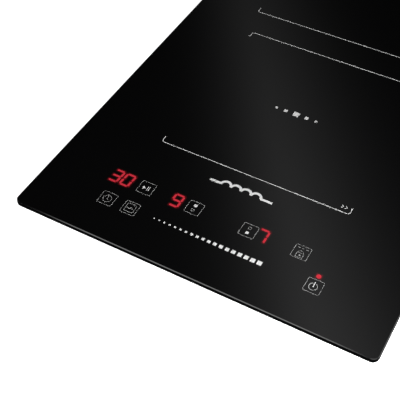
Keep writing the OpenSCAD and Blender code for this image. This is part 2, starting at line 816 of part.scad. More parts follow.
// Four switching transistors and the bridge rectifier, flat between the board and the heatsink
module power_transistors() color("#1b1b1c") {
    for (y = [-72, -44, -16, 12]) block(56, y, board_top, 16, 21, sink_z - board_top);
    block(82, -30, board_top, 24, 20, sink_z - board_top);
}

module power_capacitors() color("#c9b23a") {
    for (y = [-80, -52]) block(-8, y, board_top, 44, 22, 24);
    for (y = [-20, 0, 70, 90]) block(14, y, board_top, 32, 14, 22);
}

module board_parts() {
    color("#20242c") for (y = [-90, -70, -50]) translate([-88, y, board_top]) cylinder(h = 22, r = 6.5);
    color("#d9c14a") block(-62, -85, board_top, 24, 22, 18);
    color("#7a4a26") for (y = [-15, 40]) translate([-40, y, board_top]) ring(17, 8, 14);
    color("#d7b56a") for (y = [-18, -10, 56, 64]) block(y < 0 ? -66 : -78, y, board_top, 4, 6, 9);
    color("#17181a") block(-62, 85, board_top, 12, 12, 1.6);
    color("#17181a") block(-38, 88, board_top, 8, 8, 1.4);
    color("#e8e6dc") block(-30, -108, board_top, 22, 6, 9);
    color("#e8e6dc") block(14, 107, board_top, 10, 6, 8);
}

module filter_parts() {
    color("#3b6a3c") translate([-74, 150, board_top]) ring(15, 7, 16);
    color("#d7c24a") for (y = [139, 161]) block(-40, y, board_top, 31, 15, 24);
    color("#e7e2d2") translate([-19, 135, board_top + 5]) rotate([0, 90, 0]) cylinder(h = 22, r = 3);
    color("#c8ccd0") for (x = [-18, 1]) block(x, 135, board_top, 3, 8, 5);
    color("#2a5fa0") translate([-8, 158, board_top + 7.5]) rotate([90, 0, 0]) cylinder(h = 4, r = 7);
    color("#e8e6dc") block(-89, 176, board_top, 26, 8, 12);
    color("#d7b56a") block(-8, 172, board_top, 6, 4, 8);
}

// ---------- air system ----------

module scroll(inset) {
    r_end = scroll_r0 + scroll_growth - inset;
    polygon(concat(
        [for (a = [-60 : -10 : -360])
            let (r = scroll_r0 - inset + scroll_growth * (-60 - a) / 300)
                [fan_x + r * cos(a), fan_y + r * sin(a)]],
        [[fan_x + r_end, duct_y1 + 1 - (inset > 0 ? 1 : 0)],
         [fan_x + (scroll_r0 - inset) / 2 + 2 * inset, duct_y1 + 1 - (inset > 0 ? 1 : 0)]]
    ));
}

lug_angles = [45, 135, 225];
lug_r = 47;

module blower_housing() color("#3a3d40") difference() {
    union() {
        translate([0, 0, blower_z]) linear_extrude(1.4) scroll(0);
        translate([0, 0, blower_z]) linear_extrude(blower_top - blower_z) difference() {
            scroll(0);
            scroll(scroll_wall);
        }
        for (a = lug_angles) translate([fan_x, fan_y, 0]) rotate(a) {
            translate([lug_r, 0, sheet]) cylinder(h = blower_z - sheet + 1.4, r = 4);
            translate([32, -3, blower_z]) cube([lug_r - 32, 6, 1.4]);
        }
    }
    translate([fan_x, fan_y, 0]) cylinder(h = 6, r = 28);
}

module blower_cover() color("#3a3d40") difference() {
    translate([0, 0, blower_top]) linear_extrude(1.4) scroll(0);
    for (a = [0 : 60 : 300]) translate([fan_x, fan_y, blower_top - 1]) rotate(a)
        translate([19, 0, 0]) cylinder(h = 4, r = 2);
}

module fan_motor() color("#8d9094") translate([fan_x, fan_y, 0]) difference() {
    union() {
        translate([0, 0, 24.5]) cylinder(h = blower_top - 24.5, r = 13);
        translate([0, 0, 14]) cylinder(h = 8, r = 12.9);
        translate([0, 0, 13]) cylinder(h = 12, r = 4);
    }
    translate([0, 0, 12]) cylinder(h = 15, r = shaft_r + 0.06);
}

module fan_rotor() color("#26282b") translate([fan_x, fan_y, 0]) {
    difference() {
        translate([0, 0, 6]) cylinder(h = 20, r = 17);
        translate([0, 0, 8]) cylinder(h = 20, r = 14.5);
        translate([0, 0, 5]) cylinder(h = 4, r = shaft_r);
    }
    translate([0, 0, 24.6]) ring(rotor_r, 16, 1.4);
    translate([0, 0, 7]) ring(rotor_r, 33.4, 1.4);
    for (a = [0 : 15 : 345]) rotate(a) translate([31.2, 0, 7.2]) rotate(35)
        translate([-3.6, -0.5, 0]) cube([7.2, 1, 17.8]);
}

module fan_shaft() color("#d4d7da") translate([fan_x, fan_y, 6]) cylinder(h = 20, r = shaft_r);

// A round guard in the pan's intake: six spokes between ring-shaped gaps, and a flange on the pan
module fan_grille() color("#2c2e31") translate([fan_x, fan_y, 0]) {
    linear_extrude(2.2) difference() {
        circle(38.8);
        difference() {
            for (gap = [[7.9, 13.1], [14.9, 20.1], [21.9, 27.1], [28.9, 36.4]]) difference() {
                circle(gap[1]);
                circle(gap[0]);
            }
            for (a = [0 : 60 : 300]) rotate(a) translate([0, -1]) square([38, 2]);
        }
    }
    translate([0, 0, sheet]) linear_extrude(0.9) difference() {
        circle(43);
        circle(37.6);
    }
}

// A channel with no floor: it stands on the board and leads the blower's air over the heatsink
module air_duct() color("#2f3235") {
    span([duct_x0, duct_y0, duct_top - 1.2], [duct_x1, duct_y1, duct_top]);
    span([duct_x0, duct_y0, board_top], [duct_x0 + 1.2, 116, duct_top]);
    span([duct_x1 - 1.2, duct_y0, board_top], [duct_x1, 116, duct_top]);
}

// ---------- mains connection ----------

module terminal_box() color("#e4e2d8") difference() {
    union() {
        difference() {
            span([box_x0, box_y0, sheet], [box_x1, pan_y1 - sheet, box_h + 1]);
            span([box_x0 + box_wall, box_y0 + box_wall, sheet + 2], [box_x1 - box_wall, pan_y1, box_h - 1]);
        }
        for (s = [-1, 1]) translate([gland_x + 10.5 * s, 210, sheet]) cylinder(h = 20, r = 3.2);
        block(gland_x, 210, sheet, 14, 8, 12);
    }
    for (s = [-1, 1]) translate([gland_x + 10.5 * s, 210, 8]) cylinder(h = 20, r = 1.5);
    span([-104, box_y0 - 1, 11], [-74, box_y0 + 3, 19]);
}

terminal_pitch = 9;
terminals = 5;

module terminal_block() {
    color("#f0eee6") difference() {
        span([-112, 200, 3], [-66, 220, 19]);
        for (i = [0 : terminals - 1]) translate([-107 + terminal_pitch * i, 0, 0]) {
            translate([0, 221, 11]) rotate([90, 0, 0]) cylinder(h = 12, r = 2.2);
            translate([0, 213, 14]) cylinder(h = 6, r = 2.4);
        }
    }
    color("#c9a64a") for (i = [0 : terminals - 1])
    translate([-107 + terminal_pitch * i, 213, 14]) difference() {
        cylinder(h = 3.5, r = 2.2);
        translate([-3, -0.35, 2.4]) cube([6, 0.7, 2]);
    }
    color("#e4e2d8") difference() {
        span([gland_x - 13.5, 206, 21.2], [gland_x + 13.5, 214, 24.6]);
        for (s = [-1, 1]) translate([gland_x + 10.5 * s, 210, 20]) cylinder(h = 6, r = 1.7);
    }
    color("#c9ccd0") for (s = [-1, 1]) translate([gland_x + 10.5 * s, 210, 0]) {
        translate([0, 0, 12]) cylinder(h = 13, r = 1.45);
        translate([0, 0, 24.7]) cylinder(h = 1.8, r = 2.8);
    }
}

cover_knuckles = [[-118, -108], [-96, -86], [-74, -64]];
hinge_ears = [[-106, -98], [-84, -76]];

module hinge_barrel(x0, x1, r) translate([x0, cover_hinge_y, cover_hinge_z]) rotate([0, 90, 0])
    cylinder(h = x1 - x0, r = r);

module terminal_cover() color("#d9d7cd") {
    inner = pan_y1 + 0.1;
    difference() {
        union() {
            span([cover_x0, inner, 8], [cover_x1, inner + 1.6, box_h + 1]);
            for (k = cover_knuckles) {
                hinge_barrel(k[0], k[1], knuckle_r);
                span([k[0], inner, cover_hinge_z], [k[1], inner + 1.6, 10]);
            }
            span([-96, inner + 1, box_h - 2], [-86, inner + 4, box_h]);
            for (x = [-112, -70]) span([x - 0.8, inner + 1, 12], [x + 0.8, inner + 2.6, 28]);
        }
        hinge_barrel(-119, -63, hinge_pin_r + 0.06);
    }
}

module cover_hinge() color("#b9bdc0") {
    difference() {
        union() {
            span([-121, pan_y1, 0.4], [-61, pan_y1 + 1, 2]);
            for (e = hinge_ears) {
                hinge_barrel(e[0], e[1], knuckle_r);
                span([e[0], pan_y1, 0.4], [e[1], cover_hinge_y, cover_hinge_z]);
            }
        }
        hinge_barrel(-119, -63, hinge_pin_r + 0.02);
    }
    hinge_barrel(-119, -63, hinge_pin_r);
}

module along_gland(y) translate([gland_x, y, gland_z]) rotate([-90, 0, 0]) children();

module cable_gland() color("#4a4d50") difference() {
    union() {
        along_gland(pan_y1 - 12) cylinder(h = 16, r = 8);
        along_gland(pan_y1) cylinder(h = 3, r = 11.5, $fn = 6);
        along_gland(pan_y1) cylinder(h = 9, r = 7.4);
    }
    along_gland(pan_y1 - 13) cylinder(h = 23, r = gland_bore / 2);
}

// The locknut inside the pan, the dome nut outside it and the rubber ring that the dome nut squeezes
module gland_nuts() color("#4a4d50") {
    difference() {
        along_gland(pan_y1 - sheet - 4) cylinder(h = 4, r = 11.5, $fn = 6);
        along_gland(pan_y1 - 8) cylinder(h = 10, r = 8.04);
    }
    difference() {
        union() {
            along_gland(pan_y1 + 4.2) cylinder(h = 6, r = 10);
            along_gland(pan_y1 + 10.2) cylinder(h = 3.3, r1 = 10, r2 = 7.5);
        }
        along_gland(pan_y1 + 4) cylinder(h = 7.8, r = 7.9);
        along_gland(pan_y1 + 5) cylinder(h = 10, r = 5.5);
    }
    difference() {
        along_gland(pan_y1 + 9.2) cylinder(h = 2.4, r = 7.8);
        along_gland(pan_y1 + 8) cylinder(h = 5, r = gland_bore / 2 + 0.1);
    }
}

// ---------- fixing clips ----------

// The rear right clip, stowed: its arm lies along the wall, towards the front
module clip() color("#c2c6c9") difference() {
    union() {
        translate([clip_pivot_x, clip_y, clip_z]) cylinder(h = clip_t, r = clip_w / 2);
        span([clip_pivot_x - clip_w / 2, clip_y - clip_reach, clip_z],
             [clip_pivot_x + clip_w / 2, clip_y, clip_z + clip_t]);
        span([clip_pivot_x - clip_w / 2, clip_y - clip_reach, clip_z],
             [clip_pivot_x + clip_w / 2, clip_y - clip_reach + 1.6, clip_z + 5]);
    }
    translate([clip_pivot_x, clip_y, clip_z - 1]) cylinder(h = 4, r = clip_bolt_r + 0.06);
}

module clip_rear_right() clip();
module clip_rear_left() mirror([1, 0, 0]) clip();
module clip_front_right() mirror([0, 1, 0]) clip();
module clip_front_left() mirror([1, 0, 0]) mirror([0, 1, 0]) clip();

// For each clip: the bolt, the sleeve above the clip and the nut inside the pan
module clip_fasteners() color("#c9ccd0") for (x = [-1, 1] * clip_pivot_x, y = [-clip_y, clip_y])
translate([x, y, 0]) {
    difference() {
        translate([0, 0, clip_z - 3.4]) cylinder(h = 3.3, r = 4);
        translate([0, 0, clip_z - 4]) cylinder(h = 2.4, r = 2, $fn = 6);
    }
    translate([0, 0, clip_z - 0.5]) cylinder(h = pocket_h + 5.5 - clip_z, r = clip_bolt_r);
    translate([0, 0, clip_z + clip_t + 0.1]) ring(3.8, clip_bolt_r + 0.05, pocket_h - clip_z - clip_t - 0.1);
    difference() {
        translate([0, 0, pocket_h + sheet]) cylinder(h = 3.2, r = 4, $fn = 6);
        translate([0, 0, pocket_h]) cylinder(h = 6, r = clip_bolt_r + 0.03);
    }
}

// ---------- wires ----------

module mains_wires() {
    color("#7a4522") wire([[-98, 199.8, 15], [-98, 194, 15.4], [-98, 188, 15.2], [-98, 180.2, 15]], 1.3);
    color("#2a55a8") wire([[-89, 199.8, 15], [-89, 194, 15.4], [-89, 188, 15.2], [-89, 180.2, 15]], 1.3);
    color("#5a9a3a") wire([[-80, 199.8, 15], [-80, 194, 15.4], [-80, 188, 15.2], [-80, 180.2, 15]], 1.3);
    color("#5a9a3a") wire([[-8, 174.1, 14], [-8, 178, 14], [-8, 184, 16], [-9, 192, 16],
        [-11, 200, 9], [earth_x, earth_y - 7, 5.4]], 1.3);
    color("#c9ccd0") translate([earth_x, earth_y, 0]) {
        translate([0, 0, 0.2]) cylinder(h = 10, r = 2);
        translate([0, 0, sheet]) cylinder(h = 3, r = 3.5, $fn = 6);
        translate([0, 0, 4.2]) ring(4, 2.05, 1);
    }
    color("#26282b") wire([[44, 158, 30.7], [34, 146, 31], [24, 132, 29], [16, 116, 28],
        [14, 107, 22], [14, 107, 16.7]], 1.2);
}

// ---------- the parts ----------

glass_plate();
zone_print();
control_print();
lit_displays();
worktop_seal();
glass_adhesive();
side_rails();
end_rails();
bottom_pan();
rear_panel();
pan_screws();
coil_tray();
tray_posts();
coil_guide_pins();
front_coil_carrier();
front_winding();
front_ferrites();
front_mica();
front_sensor();
front_coil_springs();
front_coil_leads();
rear_coil_carrier();
rear_winding();
rear_ferrites();
rear_mica();
rear_sensor();
rear_coil_springs();
rear_coil_leads();
control_holder();
control_board();
digit_displays();
control_springs();
ribbon_cable();
power_board();
board_fasteners();
heatsink();
power_transistors();
power_capacitors();
board_parts();
filter_board();
filter_parts();
fan_grille();
blower_housing();
blower_cover();
fan_motor();
fan_rotor();
fan_shaft();
air_duct();
terminal_box();
terminal_block();
terminal_cover();
cover_hinge();
cable_gland();
gland_nuts();
clip_front_left();
clip_front_right();
clip_rear_left();
clip_rear_right();
clip_fasteners();
mains_wires();
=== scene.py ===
import json
import math

import bmesh
import bpy
from mathutils import Matrix, Vector

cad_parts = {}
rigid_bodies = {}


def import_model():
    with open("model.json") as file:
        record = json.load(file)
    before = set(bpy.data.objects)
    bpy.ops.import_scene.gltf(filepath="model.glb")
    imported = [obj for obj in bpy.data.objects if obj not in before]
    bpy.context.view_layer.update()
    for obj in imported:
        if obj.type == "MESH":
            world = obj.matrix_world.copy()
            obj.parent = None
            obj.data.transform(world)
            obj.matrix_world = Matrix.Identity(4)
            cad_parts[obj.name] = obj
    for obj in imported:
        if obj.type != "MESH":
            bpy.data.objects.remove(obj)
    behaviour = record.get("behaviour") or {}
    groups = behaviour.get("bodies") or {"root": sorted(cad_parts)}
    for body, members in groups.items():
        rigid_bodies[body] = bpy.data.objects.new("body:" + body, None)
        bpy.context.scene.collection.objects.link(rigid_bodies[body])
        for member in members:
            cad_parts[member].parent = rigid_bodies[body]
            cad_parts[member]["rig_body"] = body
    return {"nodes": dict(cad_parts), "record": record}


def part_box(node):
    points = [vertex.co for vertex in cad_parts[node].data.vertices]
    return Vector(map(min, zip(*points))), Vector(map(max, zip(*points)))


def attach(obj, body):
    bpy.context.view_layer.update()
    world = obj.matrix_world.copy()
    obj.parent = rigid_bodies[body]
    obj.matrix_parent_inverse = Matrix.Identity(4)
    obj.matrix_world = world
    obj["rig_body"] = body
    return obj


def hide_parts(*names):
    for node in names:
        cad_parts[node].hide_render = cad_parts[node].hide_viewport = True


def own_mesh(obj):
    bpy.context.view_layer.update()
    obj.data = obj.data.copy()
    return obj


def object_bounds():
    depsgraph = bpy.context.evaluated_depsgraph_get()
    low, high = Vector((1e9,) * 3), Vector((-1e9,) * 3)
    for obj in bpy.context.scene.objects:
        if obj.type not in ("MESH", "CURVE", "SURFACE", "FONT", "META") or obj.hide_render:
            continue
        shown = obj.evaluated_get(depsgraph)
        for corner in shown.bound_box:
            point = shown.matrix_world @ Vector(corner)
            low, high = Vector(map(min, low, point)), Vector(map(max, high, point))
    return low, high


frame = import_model()
cad_box = [list(map(float, v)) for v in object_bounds()]
nodes = frame["nodes"]

MM = 0.001
slot_of = {part["node"]: part["material_slot"] for part in frame["record"]["subparts"]}
glass_lo, glass_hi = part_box("glass_plate")
glass_top = glass_hi.z

# Light given off by the lit segments and by the glass beside them
LIT_STRENGTH = 0.38
LAMP_STRENGTH = 0.43
HALO_STRENGTH = 0.1


# ---------- shader building ----------

class Graph:
    """A node tree, and short ways to add nodes to it."""

    def __init__(self, tree):
        self.tree = tree
        self.place = tree.nodes.new("ShaderNodeTexCoord").outputs["Object"]

    def put(self, kind, links, **settings):
        node = self.tree.nodes.new(kind)
        for key, value in settings.items():
            setattr(node, key, value)
        for key, value in links.items():
            socket = node.inputs[key]
            if isinstance(value, bpy.types.NodeSocket):
                self.tree.links.new(value, socket)
            else:
                socket.default_value = value
        return node

    def math(self, operation, a, b=0.0):
        return self.put("ShaderNodeMath", {0: a, 1: b}, operation=operation).outputs[0]

    def axis(self, index, source=None):
        return self.put("ShaderNodeSeparateXYZ", {0: source or self.place}).outputs[index]

    def ramp(self, value, stops):
        node = self.put("ShaderNodeValToRGB", {"Fac": value})
        while len(node.color_ramp.elements) < len(stops):
            node.color_ramp.elements.new(0.5)
        for element, (position, color) in zip(node.color_ramp.elements, stops):
            element.position = position
            element.color = (*color, 1)
        return node


class Shader(Graph):
    """One procedural material, built node by node around a Principled shader."""

    def __init__(self, name, color, metallic, roughness, **constants):
        self.material = bpy.data.materials.new(name)
        self.material.use_nodes = True
        super().__init__(self.material.node_tree)
        self.shader = self.tree.nodes["Principled BSDF"]
        self.shader.inputs["Base Color"].default_value = (*color, 1)
        self.shader.inputs["Metallic"].default_value = metallic
        self.shader.inputs["Roughness"].default_value = roughness
        for key, value in constants.items():
            self.shader.inputs[key.replace("_", " ")].default_value = value
        self.normal = None

    def texture(self, kind, stretch, **links):
        where = self.place
        if stretch:
            where = self.put("ShaderNodeMapping", {"Vector": where, "Scale": stretch}).outputs["Vector"]
        return self.put(kind, {"Vector": where, **links})

    def noise(self, scale, detail=3.0, rough=0.55, stretch=None):
        node = self.texture("ShaderNodeTexNoise", stretch, Scale=scale, Detail=detail, Roughness=rough)
        return node.outputs["Fac"]

    def cells(self, scale, output="Color", randomness=1.0, stretch=None):
        node = self.texture("ShaderNodeTexVoronoi", stretch, Scale=scale, Randomness=randomness)
        return node.outputs[output]

    def vector_math(self, operation, a, b=(0.0, 0.0, 0.0), output="Vector"):
        return self.put("ShaderNodeVectorMath", {0: a, 1: b}, operation=operation).outputs[output]

    def remap(self, value, low, high, to_low, to_high):
        links = {"Value": value, "From Min": low, "From Max": high, "To Min": to_low, "To Max": to_high}
        return self.put("ShaderNodeMapRange", links).outputs[0]

    def blend(self, factor, a, b):
        a, b = ((*c, 1) if isinstance(c, tuple) else c for c in (a, b))
        return self.put("ShaderNodeMix", {0: factor, 6: a, 7: b}, data_type="RGBA").outputs[2]

    def drive(self, socket, value):
        self.tree.links.new(value, self.shader.inputs[socket])

    def vary_color(self, factor, a, b):
        self.drive("Base Color", self.blend(factor, a, b))

    def vary_roughness(self, value, least, most):
        self.drive("Roughness", self.remap(value, 0.3, 0.7, least, most))

    def bump(self, height, distance, strength=1.0):
        links = {"Height": height, "Distance": distance, "Strength": strength}
        if self.normal is not None:
            links["Normal"] = self.normal
        self.normal = self.put("ShaderNodeBump", links).outputs["Normal"]
        self.drive("Normal", self.normal)


def tint(color, factor):
    return tuple(min(1.0, c * factor) for c in color)


def moulded(name, color, roughness):
    """Moulded plastic: fine spark-eroded grain, with slight unevenness of tone and gloss."""
    s = Shader(name, color, 0.0, roughness, Specular_IOR_Level=0.5)
    broad = s.noise(35, 4)
    s.vary_color(broad, tint(color, 0.86), tint(color, 1.1))
    s.vary_roughness(s.noise(160, 3), roughness - 0.07, roughness + 0.08)
    s.bump(s.noise(2400, 2), 0.00004, 0.5)
    return s.material


def plated(name, color, roughness, lines=(1, 1, 1)):
    """Bare or plated metal with fine rolling or turning lines along one direction."""
    s = Shader(name, color, 1.0, roughness)
    streak = s.noise(260, 5, 0.6, stretch=lines)
    cloud = s.noise(18, 3)
    tone = s.blend(cloud, tint(color, 0.82), tint(color, 1.08))
    s.vary_color(s.remap(streak, 0.3, 0.7, 0.0, 0.5), tone, tint(color, 0.75))
    s.vary_roughness(streak, roughness - 0.06, roughness + 0.12)
    s.bump(streak, 0.00001, 0.6)
    return s.material


def galvanised(name, color, level):
    """Hot-dip galvanised sheet: zinc crystals that differ in tone and gloss, with dull clouds."""
    color = tint(color, level)
    s = Shader(name, color, 1.0, 0.42)
    crystals = s.cells(130)
    fine = s.cells(420)
    crystal_tone = s.math("MULTIPLY", s.axis(0, crystals), 0.65)
    tone = s.math("ADD", crystal_tone, s.math("MULTIPLY", s.axis(1, fine), 0.35))
    stops = [(0.05, tint(color, 0.72)), (0.5, color), (0.95, tint(color, 1.22))]
    shade = s.ramp(tone, stops).outputs["Color"]
    cloud = s.noise(9, 5, 0.6)
    s.vary_color(s.remap(cloud, 0.35, 0.75, 0.0, 0.35), shade, tint(color, 0.78))
    s.drive("Roughness", s.remap(tone, 0.1, 0.9, 0.3, 0.52))
    s.bump(tone, 0.00003, 0.35)
    return s.material


def rubbery(name, color, roughness, pores):
    """Rubber or foam, with open pores, each pit painted darker as painted shade in its hollow."""
    s = Shader(name, color, 0.0, roughness, Specular_IOR_Level=0.3)
    pore_pit_and_shade = s.cells(pores, "Distance")
    # Painted shade: the colour darkens towards each pore's pit, where the bump sinks, standing in for shade
    # inside the hollow
    s.vary_color(pore_pit_and_shade, tint(color, 0.7), tint(color, 1.5))
    s.vary_roughness(s.noise(200), roughness - 0.08, roughness + 0.08)
    s.bump(pore_pit_and_shade, 0.0002, 0.5)
    return s.material


def enamel(name, _, color):
    """Enamel ink, screen-printed and fired: even colour with a trace of the screen's grain."""
    s = Shader(name, color, 0.0, 0.42, Specular_IOR_Level=0.4)
    grain = s.noise(2600, 2)
    s.vary_color(s.remap(grain, 0.3, 0.7, 0.0, 1.0), tint(color, 0.9), tint(color, 1.05))
    s.vary_roughness(s.noise(700), 0.36, 0.5)
    s.bump(grain, 0.00001, 0.4)
    return s.material


def solder_mask(name, color):
    """Circuit board: tracks show as slightly raised, lighter paths under the mask."""
    s = Shader(name, color, 0.0, 0.3)
    paths = s.cells(150, "Distance", stretch=(1, 0.25, 1), randomness=0.85)
    track = s.remap(paths, 0.34, 0.38, 0.0, 1.0)
    s.vary_color(track, tint(color, 0.75), tint(color, 1.9))
    s.vary_roughness(s.noise(300), 0.24, 0.38)
    s.bump(track, 0.00004, 0.6)
    return s.material


def load_node(bm, name):
    bm.from_mesh(nodes[name].data)
    bmesh.ops.remove_doubles(bm, verts=bm.verts, dist=1e-6)


def separate_solids(bm):
    """The faces of each separate solid, with its low and high corners."""
    unseen = set(bm.faces)
    while unseen:
        solid, front = [], [unseen.pop()]
        while front:
            face = front.pop()
            solid.append(face)
            found = {other for e in face.edges for other in e.link_faces} & unseen
            unseen -= found
            front.extend(found)
        spots = [v.co for face in solid for v in face.verts]
        low, high = (Vector([pick(s[i] for s in spots) for i in range(3)]) for pick in (min, max))
        yield solid, low, high


def islands(name):
    """Low and high corners of each separate solid in a CAD node, from left to right."""
    bm = bmesh.new()
    load_node(bm, name)
    found = [(low, high) for _, low, high in separate_solids(bm)]
    bm.free()
    return sorted(found, key=lambda pair: tuple(round(c, 5) for c in pair[0] + pair[1]))


def black_glass():
    """Opaque black glass ceramic, polished, with a faint red halo along each lit bar and round the lamp."""
    s = Shader("black_glass", (0.0011, 0.0011, 0.0012), 0.0, 0.07, IOR=1.5)
    s.shader.inputs["Emission Color"].default_value = (1.0, 0.03, 0.05, 1)
    nearest = None
    for low, high in islands("lit_displays"):
        middle, half = (low + high) / 2, (high - low) / 2
        offset = s.vector_math("ABSOLUTE", s.vector_math("SUBTRACT", s.place, middle))
        outside = s.vector_math("MAXIMUM", s.vector_math("SUBTRACT", offset, half))
        far = s.vector_math("LENGTH", outside, output="Value")
        nearest = far if nearest is None else s.math("MINIMUM", nearest, far)
    reach = 1.5 * MM
    halo = s.math("POWER", s.remap(nearest, 0.0, reach, 1.0, 0.0), 2.0)
    s.drive("Emission Strength", s.math("MULTIPLY", halo, HALO_STRENGTH))
    s.vary_roughness(s.noise(14, 4), 0.05, 0.085)
    s.bump(s.noise(60, 2), 0.0000015, 0.25)
    return s.material


def ground_edge():
    """The glass's vertical edge: fine-ground and blackened, with no gloss."""
    s = Shader("ground_edge", (0.0012, 0.0012, 0.0013), 0.0, 0.6, Specular_IOR_Level=0.0)
    s.vary_color(s.noise(400, 3), (0.0006, 0.0006, 0.0007), (0.0018, 0.0018, 0.002))
    s.bump(s.noise(1500, 2), 0.00001, 0.3)
    return s.material


def lit_red():
    s = Shader("lit_red", (0.2, 0.006, 0.01), 0.0, 0.4)
    s.shader.inputs["Emission Color"].default_value = (1.0, 0.045, 0.08, 1)
    lamp_edge = islands("lit_displays")[-1][0].x
    is_lamp = s.math("GREATER_THAN", s.axis(0), lamp_edge - 1 * MM)
    level = s.remap(is_lamp, 0.0, 1.0, LIT_STRENGTH, LAMP_STRENGTH)
    s.drive("Emission Strength", s.math("MULTIPLY", level, s.remap(s.noise(900, 2), 0.3, 0.7, 0.94, 1.04)))
    return s.material


def striped(name, color, second, spacing=0.006):
    """Two-coloured wire sleeve: slanting stripes along the wire."""
    s = Shader(name, color, 0.0, 0.42)
    along = s.math("ADD", s.math("ADD", s.axis(1), s.axis(2)), s.math("MULTIPLY", s.axis(0), 2.0))
    phase = s.math("FRACT", s.math("DIVIDE", along, spacing))
    s.vary_color(s.math("GREATER_THAN", phase, 0.62), color, second)
    s.vary_roughness(s.noise(300), 0.36, 0.5)
    s.bump(s.noise(2200, 2), 0.00002, 0.4)
    return s.material


# How each of the record's slots is made: the kind of surface, then its settings
RECIPES = {
    "zone_ink": (enamel, (0.74, 0.74, 0.735)), "control_ink": (enamel, (0.385, 0.385, 0.38)),
    "seal_foam": (rubbery, 0.9, 700), "silicone": (rubbery, 0.45, 300),
    "sensor_silicone": (rubbery, 0.5, 500), "board_green": (solder_mask,),
    "rail_steel": (galvanised, 0.6), "pan_steel": (galvanised, 0.6), "zinc_screw": (plated, 0.28),
    "tray_aluminium": (plated, 0.36, (1, 0.04, 1)), "sink_aluminium": (plated, 0.34, (1, 0.05, 1)),
    "copper_litz": (plated, 0.35), "spring_steel": (plated, 0.25), "spring_brass": (plated, 0.25),
    "pin_steel": (plated, 0.22), "motor_steel": (plated, 0.4), "shaft_steel": (plated, 0.12),
    "clip_steel": (plated, 0.26),
}

# The moulded slots, by roughness
MOULDED = {
    0.2: "display_black", 0.3: "capacitor_yellow", 0.4: "parts_mixed", 0.48: "fan_plastic",
    0.45: "lead_copper terminal_plastic gland_plastic wire_sleeve",
    0.5: "mica holder_plastic ribbon_grey transistor_black box_plastic cover_plastic",
    0.55: "ferrite", 0.6: "carrier_plastic",
}
RECIPES.update({name: (moulded, rough) for rough, names in MOULDED.items() for name in names.split()})

# Surfaces of smaller parts that share a node, in colours of their own
EXTRAS = {
    "can_sleeve": (moulded, (0.012, 0.02, 0.05), 0.32), "bare_aluminium": (plated, (0.72, 0.73, 0.75), 0.34),
    "yellow_case": (moulded, (0.66, 0.48, 0.08), 0.34), "green_core": (moulded, (0.03, 0.2, 0.08), 0.45),
    "iron_powder_core": (moulded, (0.16, 0.15, 0.12), 0.6), "tinned_brass": (plated, (0.74, 0.62, 0.36), 0.3),
    "enamelled_copper": (plated, (0.72, 0.3, 0.13), 0.26), "white_nylon": (moulded, (0.78, 0.77, 0.72), 0.45),
    "varistor_blue": (moulded, (0.02, 0.08, 0.34), 0.3), "fuse_ceramic": (moulded, (0.76, 0.73, 0.64), 0.5),
    "epoxy_black": (moulded, (0.018, 0.018, 0.02), 0.5), "brown_sleeve": (moulded, (0.17, 0.06, 0.025), 0.42),
    "blue_sleeve": (moulded, (0.02, 0.09, 0.38), 0.42), "black_sleeve": (moulded, (0.02, 0.02, 0.022), 0.42),
    "earth_sleeve": (striped, (0.06, 0.3, 0.06), (0.72, 0.6, 0.05)),
    "seal_rubber": (rubbery, (0.02, 0.02, 0.021), 0.7, 500),
    "black_bead": (moulded, (0.02, 0.02, 0.02), 0.35),
}

materials = {"black_glass": black_glass(), "lit_red": lit_red(), "ground_edge": ground_edge()}
for entry in frame["record"]["materials"]:
    name = entry["slot"]
    if name not in materials:
        make, *settings = RECIPES[name]
        materials[name] = make(name, tuple(entry["base_color"][:3]), *settings)
for name, (make, *settings) in EXTRAS.items():
    materials[name] = make(name, *settings)

for name, node in nodes.items():
    node.data.materials.clear()
    node.data.materials.append(materials[slot_of[name]])


# ---------- mesh helpers ----------

def linked(name, data, location=(0, 0, 0), rotation=(0, 0, 0)):
    """A new object in the scene."""
    item = bpy.data.objects.new(name, data)
    item.location = location
    item.rotation_euler = rotation
    bpy.context.scene.collection.objects.link(item)
    return item


def new_piece(name, bm, slot_names, body, smooth_angle):
    """An object that rides on a body, smooth except at edges sharper than the angle."""
    mesh = bpy.data.meshes.new(name)
    bm.normal_update()
    bm.to_mesh(mesh)
    bm.free()
    piece = linked(name, mesh)
    for slot_name in slot_names:
        mesh.materials.append(materials[slot_name])
    mesh.polygons.foreach_set("use_smooth", [True] * len(mesh.polygons))
    mesh.set_sharp_from_angle(angle=math.radians(smooth_angle))
    # Large flat faces keep their own normal, so that a broken edge doesn't shade them
    piece.modifiers.new("weighted_normal", "WEIGHTED_NORMAL").keep_sharp = True
    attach(piece, body)
    return piece


def rounded_level(half_x, half_y, radius, z, steps=10):
    """Points of a rectangle with round corners at one height, anticlockwise from above."""
    points = []
    for cx, cy, start in ((1, 1, 0), (-1, 1, 90), (-1, -1, 180), (1, -1, 270)):
        for i in range(steps + 1):
            a = math.radians(start + 90 * i / steps)
            points.append((cx * (half_x - radius) + radius * math.cos(a),
                           cy * (half_y - radius) + radius * math.sin(a), z))
    return points


def loft_part(levels, loop=False, capped=False):
    """A closed solid over levels of points; a level of one point is a pole."""
    bm = bmesh.new()
    rings = [[bm.verts.new(spot) for spot in level] for level in levels]
    following = rings[1:] + rings[:1] if loop else rings[1:]
    count = max(len(ring) for ring in rings)
    for a, b in zip(rings, following):
        for i in range(count):
            j = (i + 1) % count
            corners = (a[i % len(a)], a[j % len(a)], b[j % len(b)], b[i % len(b)])
            face = list(dict.fromkeys(corners))
            if len(face) > 2:
                bm.faces.new(face)
    if capped:
        bm.faces.new(rings[0])
        bm.faces.new(rings[-1][::-1])
    bmesh.ops.recalc_face_normals(bm, faces=bm.faces)
    return bm


# ---------- glass ----------

